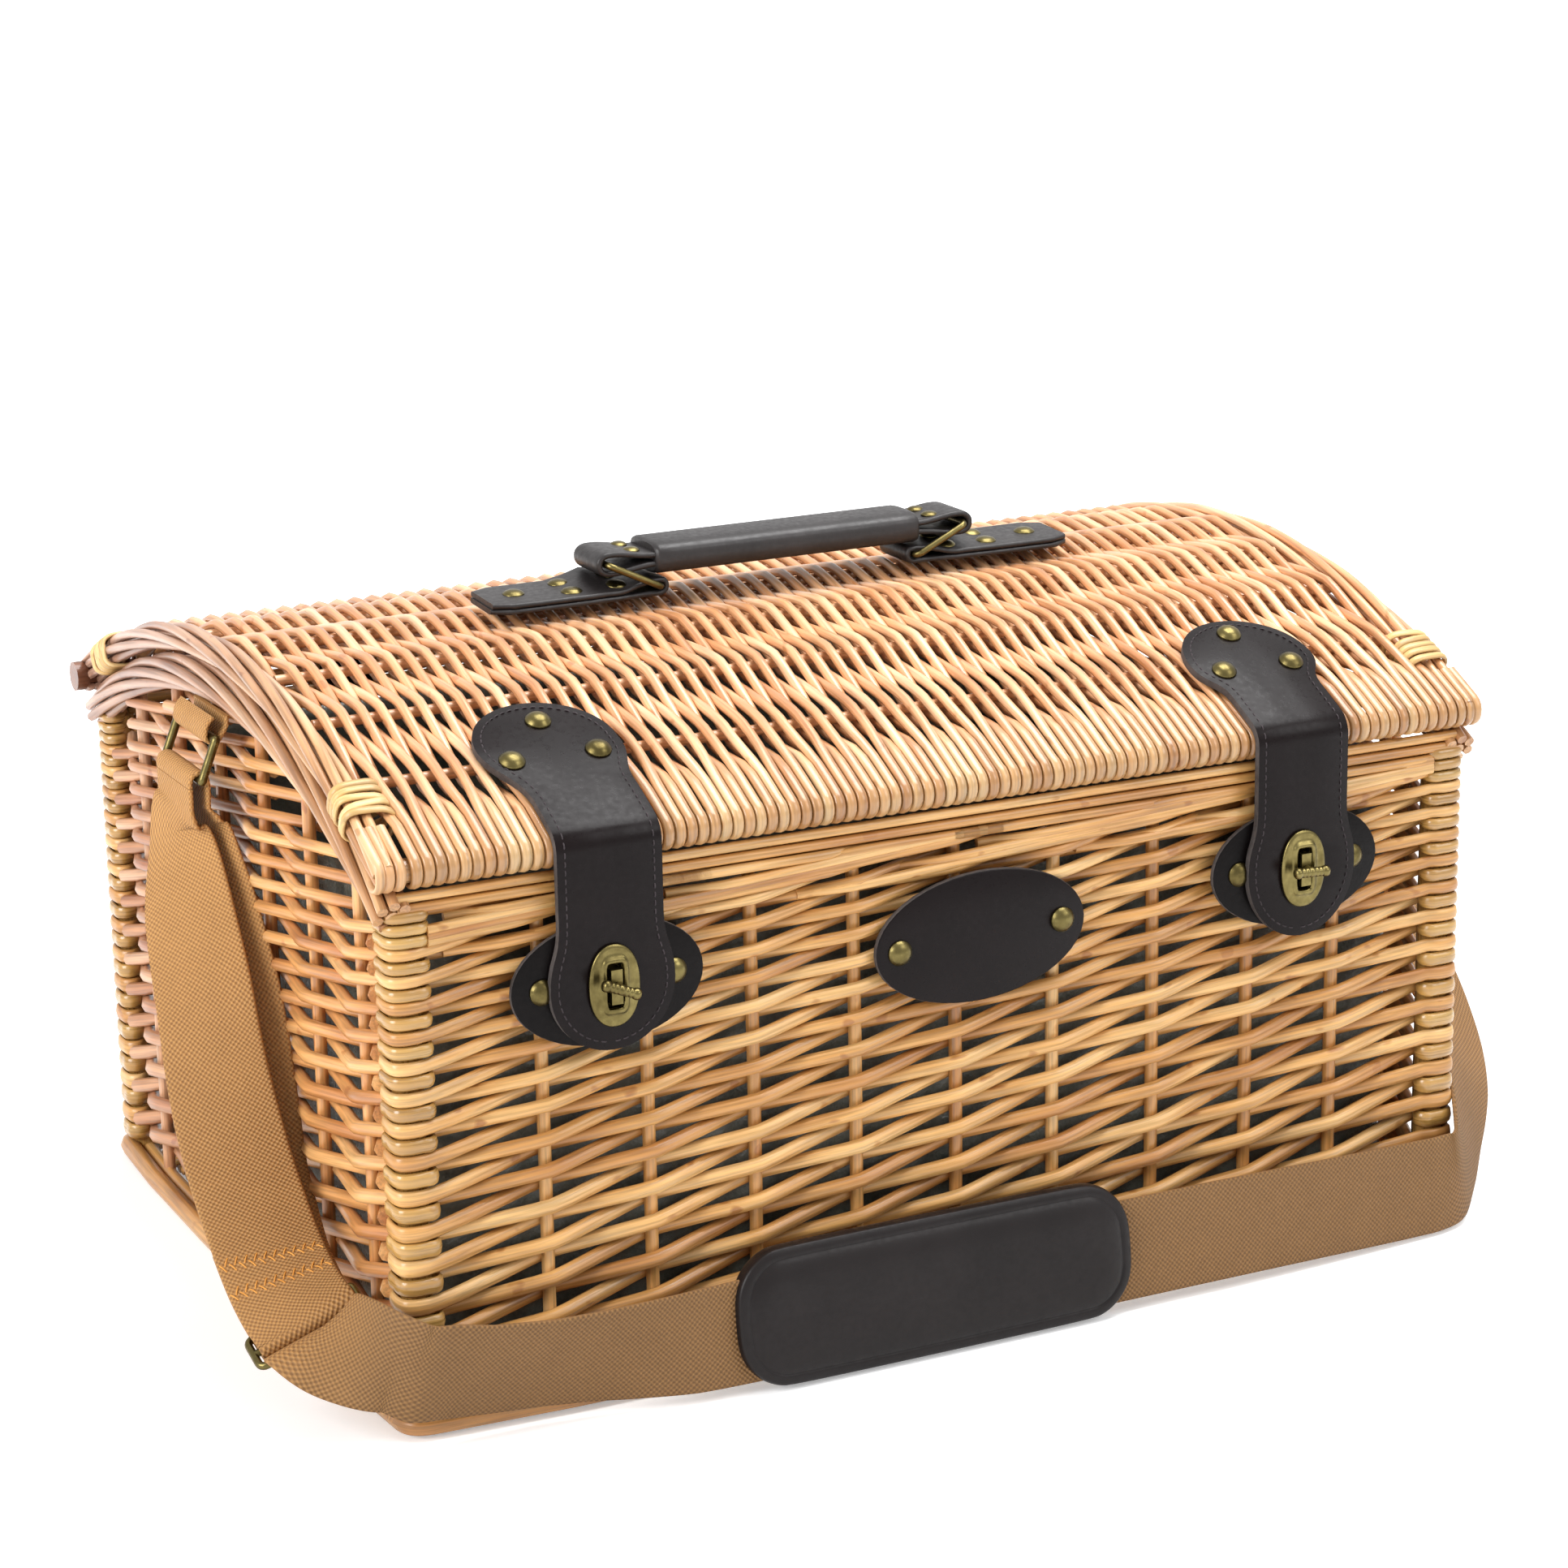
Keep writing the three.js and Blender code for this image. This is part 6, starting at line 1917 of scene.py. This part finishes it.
LEFT_CUT = StrapCut(82.0, -3.0, 0.0, ((-0.8, 60.4), (-20.0, 40.0), (14.0, 40.0)), math.radians(-22.0))
RIGHT_CUT = StrapCut(73.0, 0.0, 3.0, ((0.0, 55.0), (-15.5, 34.0), (15.5, 34.0)), math.radians(-3.0))


@dataclass
class Locks:
    """Lock straps, patches, hasps, turn bars and the badge.

    Attributes:
        slot: half width and half height of the slot in the flap.
        hasp_rows: half width, half height, lift and power of the rings of a hasp plate.
        bar_half: reach and radius along half a turn bar.
    """

    strap_width: float = 41.0
    head_width: float = 55.0
    end_width: float = 49.0
    thickness: float = 3.0
    hide: float = 2.8
    neck: float = 25.0
    slot: Flat = (4.5, 10.0)
    seam: float = 3.2
    seam_lift: float = 1.45
    face_y: float = -178.3
    bend_z: Flat = (0.2165, 0.2112)
    patch_size: Flat = (76.0, 48.0)
    patch_hide: float = 2.4
    patch_y: float = -172.5
    patch_face: float = -173.7
    patch_rivet: float = 26.0
    turn_y: float = -185.2
    shank: float = 4.0
    shank_ys: Triple = (-181.9, -182.8, -184.2)
    badge_size: Flat = (90.0, 51.0)
    badge_place: Triple = (6.5, -172.6, 156.0)
    badge_tilt: float = math.radians(2.0)
    badge_hide: float = 2.6
    badge_rivet: float = 35.0

    hasp_rows = (
        (3.25, 8.5, 0.0, 7.0), (10.0, 15.5, 0.0, 2.2), (10.0, 15.5, 0.8, 2.2), (9.5, 15.0, 1.25, 2.2),
        (8.3, 13.8, 1.4, 2.3), (7.5, 13.0, 1.15, 2.4), (6.6, 12.1, 1.3, 2.8), (5.2, 10.5, 1.5, 5.0),
        (4.9, 10.2, 2.1, 7.0), (3.7, 9.0, 2.1, 7.0), (3.25, 8.5, 1.8, 7.0), (3.25, 8.5, 0.0, 7.0),
    )
    bar_half = (
        (0.0, 1.95), (0.9, 1.95), (1.3, 1.6), (1.7, 1.95), (2.6, 1.95), (3.0, 1.55), (3.5, 1.9),
        (4.3, 1.9), (4.8, 1.55), (5.3, 2.1), (6.3, 2.3), (7.2, 2.1), (7.8, 1.4), (8.0, 0.3),
    )

    def strap_outline(self, cut: StrapCut) -> list[Flat]:
        """Draws a strap's flat edge.

        Args:
            cut: how the strap is cut.
        Returns:
            The closed edge, (across, along), from the flap's round end to the head's and back.
        """
        half, head, foot = self.strap_width / 2, self.head_width / 2, self.end_width / 2
        lock = SHELL.lock_z - SHELL.rail_z
        widen = lock + foot
        middle = (widen + lock) / 2
        neck, high = self.neck, cut.reach - head
        bulge = (neck + high) / 2
        quarter = np.linspace(0.0, math.pi / 2, 13)
        right = [(foot * math.sin(a), lock - (foot + cut.tip) * math.cos(a)) for a in quarter[:-1]]
        right += bezier((foot, lock), (foot, middle), (half, middle), (half, widen))
        right += [(half, widen), (half, 0.0), (half, neck)]
        right += bezier((half, neck), (half, bulge), (head, bulge), (head, high))[1:]
        right += [(head * math.cos(a), high + head * math.sin(a)) for a in quarter]
        edge = right + [(-across, along) for across, along in right[-2:0:-1]]
        across, along = np.array(edge).T
        across += cut.lean * np.clip((along - neck) / (high - neck), 0.0, 1.0)
        return list(zip(across, along))

    def make_strap(self, x: float, side: str, cut: StrapCut) -> None:
        """Makes one lock strap with its stitches, bending at the lid's front edge.

        Args:
            x: the lock's place along the front.
            side: its name.
            cut: how the strap is cut.
        """
        roll = StrapLine(self.thickness)

        def place(across: float, along: float, lift: float) -> Vector:
            """Puts a point of this strap on the basket."""
            return roll.place(x + across, along, lift)

        outline = self.strap_outline(cut)
        cuts = [*np.linspace(-6.0, 12.0, 13), *np.linspace(18.0, 70.0, 10), *np.linspace(-70.0, -12.0, 8)]
        lock = SHELL.lock_z - SHELL.rail_z
        hole = (self.slot[0], lock - self.slot[1], lock + self.slot[1])
        strap = LEATHERWORK.cut(f"{side}_lock_strap", outline, place, self.hide, STRAP_LEATHER, cuts, hole)
        seam = inset_line(outline, self.seam)
        row = LEATHERWORK.stitch(f"{side}_strap_stitches", seam, place, self.seam_lift, PALE_STITCH)
        for piece in (strap, row):
            start, end = ((x * MM, self.face_y * MM, z) for z in self.bend_z)
            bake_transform(piece)
            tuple(start)
            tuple(end)
        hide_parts(f"{side}_strap_head", f"{side}_strap_flap")

    @staticmethod
    def front(x: float, face: float, z: float, tilt: float = 0.0) -> Placer:
        """Makes a placer on the basket's front.

        Args:
            x: its middle's place along the front.
            face: the y of the face.
            z: its middle's height.
            tilt: how far it is turned.
        Returns:
            A function of across, up and out of the face.
        """

        def place(across: float, along: float, lift: float) -> Vector:
            """Puts a flat point on the front."""
            turned_x = across * math.cos(tilt) - along * math.sin(tilt)
            turned_z = across * math.sin(tilt) + along * math.cos(tilt)
            return Vector((x + turned_x, face - lift, z + turned_z))

        return place

    def make_patch(self, x: float, side: str, cut: StrapCut) -> None:
        """Makes the lock's leather patch and the rivets of patch and strap.

        Args:
            x: the lock's place along the front.
            side: its name.
            cut: how the strap is riveted.
        """
        place = self.front(x, self.patch_y, SHELL.lock_z)
        edge = oval(*self.patch_size)
        patch = LEATHERWORK.cut(f"{side}_patch", edge, place, self.patch_hide, PATCH_LEATHER)
        register(patch, "body", Slot.LEATHER, f"{side}_lock_patch")
        spots = (x - self.patch_rivet, x + self.patch_rivet)
        studs = [((spot, self.patch_face, SHELL.lock_z), (0, -1, 0)) for spot in spots]
        names = (f"{side}_patch_inner_rivet", f"{side}_patch_outer_rivet")
        LEATHERWORK.rivets(f"{side}_patch_rivets", studs, "body", names)
        roll = StrapLine(self.thickness)
        studs = []
        for across, reach in cut.rivets:
            angle = math.asin((-self.face_y - reach) / roll.arc)
            along = roll.bend_length + (SHELL.edge_angle - angle) * roll.arc
            foot = roll.place(x + across, along, self.hide / 2)
            studs.append((foot, roll.place(x + across, along, 5.0) - foot))
        names = [f"{side}_strap_rivet_{number}" for number in (1, 2, 3)]
        LEATHERWORK.rivets(f"{side}_head_rivets", studs, "lid", names)

    def make_hasp(self, x: float, side: str) -> None:
        """Makes the domed hasp plate with its raised slot frame."""
        place = self.front(x, self.face_y - 0.3, SHELL.lock_z)
        turns = np.linspace(0.0, 2 * np.pi, 57)
        turns[-1] = 0.0
        grid = []
        for half_wide, half_high, lift, power in self.hasp_rows:
            across, up = superellipse(turns, power)
            grid.append([tuple(place(a, b, lift)) for a, b in zip(half_wide * across, half_high * up)])
        bundle = Bundle(f"{side}_hasp")
        bundle.grid(np.array(grid))
        bundle.build(BRASS, f"{side}_flap", f"{side}_hasp_plate")

    def make_turn(self, x: float, side: str, turn: float) -> None:
        """Makes the beaded turn bar.

        Args:
            x: the lock's place along the front.
            side: its name.
            turn: the bar's angle from level.
        """
        beads = [(-reach, radius) for reach, radius in self.bar_half[:0:-1]] + list(self.bar_half)
        reach, radius = np.array(beads).T
        way = np.array([math.cos(turn), 0.0, math.sin(turn)])
        middle = np.array([x, self.turn_y, SHELL.lock_z])
        bundle = Bundle(f"{side}_turn_beads")
        bundle.run(middle + reach[:, None] * way, (0, -1, 0), radius * 2, sides=20)
        shank = np.array([[x, y, SHELL.lock_z] for y in self.shank_ys])
        bundle.run(shank, (0, 0, 1), self.shank, sides=14)
        bundle.build(BRASS, f"{side}_turn", f"{side}_turn_bar")

    def make_badge(self) -> None:
        """Makes the bare leather badge with its rivets."""
        place = self.front(*self.badge_place, self.badge_tilt)
        edge = oval(*self.badge_size)
        badge = LEATHERWORK.cut("badge_leather", edge, place, self.badge_hide, STRAP_LEATHER)
        register(badge, "body", Slot.LEATHER, "badge")
        spots = (-self.badge_rivet, self.badge_rivet)
        studs = [(place(across, 0.0, self.badge_hide / 2), (0, -1, 0)) for across in spots]
        names = ("badge_left_rivet", "badge_right_rivet")
        LEATHERWORK.rivets("badge_rivets", studs, "body", names)

    def build(self) -> None:
        """Makes both locks and the badge."""
        for (sign, side), cut in zip(SIDES, (LEFT_CUT, RIGHT_CUT)):
            x = sign * SHELL.lock_x
            self.make_strap(x, side, cut)
            self.make_patch(x, side, cut)
            self.make_hasp(x, side)
            self.make_turn(x, side, cut.turn)
        self.make_badge()


@dataclass
class Handle:
    """Top handle: tabs, rings, folded strap and wrapped sleeve.

    Attributes:
        tab_rivets: a tab's rivets, from its fold and across.
        strap_half: reach and lift of the folded strap's upper half, up to its turn round a ring.
        sleeve_end: reach and fullness of the sleeve towards one end.
    """

    middle: Triple = (4.0, -10.0, 264.3)
    fold: float = 57.0
    fold_z: float = 3.95
    fold_radius: float = 1.75
    tab_length: float = 72.0
    tab_low: float = 1.15
    tab_high: float = 3.4
    tab_round: float = 6.0
    width: float = 24.0
    tab_width: float = 29.0
    hide: float = 2.2
    tab_rivets: tuple[Flat, ...] = ((17.0, -6.5), (17.0, 6.5), (36.0, -6.5), (36.0, 6.5), (58.0, 0.0))
    tab_rivet_z: float = 4.3
    tab_rivet_scale: Flat = (0.6, 0.88)
    ring_reach: float = 25.0
    ring_gap: float = 0.75
    ring_corner: float = 2.8
    lean: float = math.radians(25.6)
    wire: float = 2.8
    strap_hide: float = 2.5
    strap_half: tuple[Flat, ...] = ((0.0, 1.7), (40.0, 1.7), (60.0, 1.8), (66.0, 2.4), (72.0, 3.4))
    strap_turn: tuple[Flat, ...] = ((-3.0, 3.8), (1.0, 3.4), (2.9, 1.8), (3.3, 0.0))
    strap_rivet: Triple = (67.0, 6.0, 3.6)
    strap_rivet_scale: Flat = (0.5, 0.72)
    sleeve: Flat = (28.0, 13.0)
    sleeve_end: tuple[Flat, ...] = ((18, 1), (35, 1), (50, 1), (57, 1), (58.4, 0.95), (59, 0.86))

    def tab_roll(self, reach: Points | float) -> Points:
        """Returns how far a tab's back edge is turned up, at a distance from its fold."""
        share = np.clip((np.asarray(reach, float) - 8.0) / 30.0, 0.0, 1.0)
        return 0.16 * np.sin(np.pi * share) ** 2 + 0.05 * share

    def make_tab(self, sign: int, side: str) -> None:
        """Makes one tab, folded round its ring and riveted to the lid."""
        radius = self.fold_radius + self.hide / 2
        plan = [(reach, self.tab_low) for reach in (self.tab_length, 52.0, 30.0, 14.0, 5.0)]
        for angle in np.linspace(-1.6, -4.1, 8):
            plan.append((radius * math.cos(angle), self.fold_z + radius * math.sin(angle)))
        plan += [(9.0, 5.3), (16.0, 3.6)]
        plan += [(reach, self.tab_high) for reach in (24.0, 48.0, self.tab_length - 0.6)]
        line = smooth_line(plan, 3)
        reach, lift = line.T
        roll = self.tab_roll(reach)
        x, y, z = self.middle
        rise = z + lift + self.tab_width / 2 * np.sin(roll)
        points = columns(x + sign * (self.fold + reach), y, rise)
        along = unit(np.gradient(line, axis=0))
        out = columns(sign * along[:, 1], along[:, 0] * np.sin(roll), -along[:, 0] * np.cos(roll))
        near = np.clip((reach - self.tab_length) / self.tab_round + 1.0, 0.0, 1.0)
        broad = np.clip((reach - 8.0) / 10.0, 0.0, 1.0)
        wide = self.width + (self.tab_width - self.width) * broad
        wide *= np.sqrt(np.clip(1.0 - 0.5 * near**2, 0.05, 1.0))
        bundle = Bundle(f"{side}_tab_fold")
        bundle.ribbon(points, out, wide, self.hide)
        bundle.build(LIT_HANDLE_LEATHER, "lid", f"{side}_handle_tab")
        studs = []
        for reach, across in self.tab_rivets:
            roll = float(self.tab_roll(reach))
            rise = self.tab_rivet_z + (self.tab_width / 2 + across) * math.sin(roll)
            foot = (x + sign * (self.fold + reach), y + across, z + rise)
            studs.append((foot, (0, -math.sin(roll), math.cos(roll))))
        LEATHERWORK.rivets(f"{side}_tab_rivets", studs, "lid", scale=self.tab_rivet_scale)

    def make_ring(self, sign: int, side: str) -> None:
        """Makes one wire ring between its tab and the strap."""
        half = self.width / 2 + self.ring_gap + self.wire / 2
        flat = np.array(rounded_rectangle((0.0, -half), (self.ring_reach, half), self.ring_corner))
        out, up = flat[:, 0] * math.cos(self.lean), flat[:, 0] * math.sin(self.lean)
        shift = columns(sign * (self.fold + out), flat[:, 1], self.fold_z + up)
        bundle = Bundle(f"{side}_ring_wire")
        bundle.wire(np.array(self.middle) + shift, (0, 0, 1), self.wire)
        bundle.build(BRASS, f"{side}_ring", f"{side}_handle_ring")

    def make_grip(self) -> None:
        """Makes the folded strap through both rings and the sleeve round it."""
        bar = self.fold + self.ring_reach * math.cos(self.lean)
        middle = np.array(self.middle)
        middle[2] += self.fold_z + self.ring_reach * math.sin(self.lean)
        right = [*self.strap_half, *((bar + reach, lift) for reach, lift in self.strap_turn)]
        half = right + [(reach, -lift) for reach, lift in right[-2::-1]]
        plan = half + [(-reach, lift) for reach, lift in half[-2:0:-1]]
        line = smooth_line(plan, 3, closed=True)
        along = np.roll(line, -1, axis=0) - np.roll(line, 1, axis=0)
        strap = Bundle("handle_fold")
        points = middle + columns(line[:, 0], 0.0, line[:, 1])
        out = columns(-along[:, 1], 0.0, along[:, 0])
        strap.ribbon(points, out, self.width, self.strap_hide, closed=True)
        strap.build(LIT_HANDLE_LEATHER, "handle", "handle_strap")
        reach, across, lift = self.strap_rivet
        spots = [(sx * reach, sy * across, lift) for sx in (-1, 1) for sy in (-1, 1)]
        studs = [(middle + np.array(spot), (0, 0, 1)) for spot in spots]
        LEATHERWORK.rivets("handle_rivets", studs, "handle", scale=self.strap_rivet_scale)
        left = [(-reach, full) for reach, full in self.sleeve_end[::-1]]
        reach, full = np.array([*left, (0.0, 1.0), *self.sleeve_end]).T
        sleeve = Bundle("handle_wrap")
        line = middle + reach[:, None] * np.array([1.0, 0.0, 0.0])
        wide, thick = self.sleeve
        sleeve.run(line, (0, 0, 1), wide * full, thick * full, Section.BAND, 28, tint=0.5)
        sleeve.build(LIT_HANDLE_LEATHER, "handle", "handle_sleeve")

    def build(self) -> None:
        """Makes the whole handle."""
        for sign, side in SIDES:
            self.make_tab(sign, side)
            self.make_ring(sign, side)
        self.make_grip()


@dataclass
class Fittings:
    """Strap rings with their webbing loops, and the hinge loops.

    Attributes:
        top: a ring's upper bar, out from the end wall and up.
    """

    top: Flat = (6.5, 229.0)
    half_width: float = 23.0
    wire: float = 3.5
    corner: float = 4.0
    cut_in: float = 0.9
    loop: Flat = (38.0, 1.8)
    loop_radius: float = 3.1
    hinge: Flat = (24.0, 2.3)
    hinge_gap: float = 1.6

    def make_strap_ring(self, sign: int, side: str) -> None:
        """Makes one wire ring on an end wall."""
        corners = []
        for (out, up), y in ((self.top, 1), (SHELL.ring_foot, 1), (SHELL.ring_foot, -1), (self.top, -1)):
            place = (sign * (SHELL.half_length + out), SHELL.ring_y + y * self.half_width, up)
            corners.append(np.array(place))
        points = []
        for index, corner in enumerate(corners):
            back, on = (unit(corners[(index + step) % 4] - corner) for step in (-1, 1))
            middle = corner + (back + on) * self.cut_in
            for way, share in ((back, 1.0), (back, 0.3), (on, 0.0), (on, 0.3), (on, 1.0)):
                points.append(middle + way * self.corner * share)
        bundle = Bundle(f"{side}_strap_ring_wire")
        bundle.wire(smooth_line(points, 2, closed=True), (sign, 0, 0.4), self.wire)
        bundle.build(BRASS, "body", f"{side}_strap_ring")

    def make_strap_loop(self, sign: int, side: str) -> None:
        """Makes the short webbing loop that carries a strap ring."""
        out, up = self.top
        radius = self.loop_radius
        plan = [(0.8, up + 7.0), (1.0, up + 3.0)]
        plan += [(out + radius * math.cos(a), up + radius * math.sin(a)) for a in np.linspace(-2.8, 0.3, 8)]
        plan += [(out + 2.2, up + 4.0), (out - 0.4, up + 7.0)]
        line = smooth_line(plan, 3)
        points = columns(sign * (SHELL.half_length + line[:, 0]), SHELL.ring_y, line[:, 1])
        along = np.gradient(line, axis=0)
        facing = columns(sign * along[:, 1], 0.0, -along[:, 0])
        bundle = Bundle(f"{side}_loop_webbing")
        bundle.ribbon(points, facing, *self.loop)
        bundle.build(WEB_THREAD, "body", f"{side}_strap_loop")

    def make_hinge(self, sign: int, side: str) -> None:
        """Makes one leather loop round the lid's back rail."""
        low, high = (np.array(corner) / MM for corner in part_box(f"{side}_hinge_loop"))
        reach = SHELL.rail_radius + self.hinge_gap
        plan = [(low[1] + 1.4, low[2] + 1.0)]
        for angle in np.linspace(3.5, -0.1, 16):
            plan.append((SHELL.rail_y + reach * math.cos(angle), SHELL.rail_z + reach * math.sin(angle)))
        plan += [(high[1] - 1.3, SHELL.rail_z - 10.0), (high[1] - 1.3, low[2] + 1.0)]
        line = smooth_line(plan, 2)
        points = columns(sign * SHELL.hinge_x, line[:, 0], line[:, 1])
        along = np.gradient(line, axis=0)
        facing = columns(0.0, -along[:, 1], along[:, 0])
        bundle = Bundle(f"{side}_hinge_strap")
        bundle.ribbon(points, facing, *self.hinge)
        bundle.build(STRAP_LEATHER, "body", f"{side}_hinge_loop")

    def build(self) -> None:
        """Makes the fittings of both sides."""
        for sign, side in SIDES:
            self.make_strap_ring(sign, side)
            self.make_strap_loop(sign, side)
            self.make_hinge(sign, side)


def finish_kept_nodes(frame: dict) -> None:
    """Gives the CAD nodes that stay in view their material."""
    for name in ("left_lock_base", "right_lock_base"):
        node = frame["nodes"][name]
        node.data.materials.clear()
        node.data.materials.append(material_of(BRASS))


def main() -> None:
    """Makes the scene."""
    logging.basicConfig(level=logging.INFO, format="%(name)s: %(message)s")
    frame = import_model()
    Studio().build()
    ShoulderStrap().build()
    Body().build()
    Lid().build()
    Locks().build()
    Handle().build()
    Fittings().build()
    finish_kept_nodes(frame)


if __name__ == "__main__":
    main()
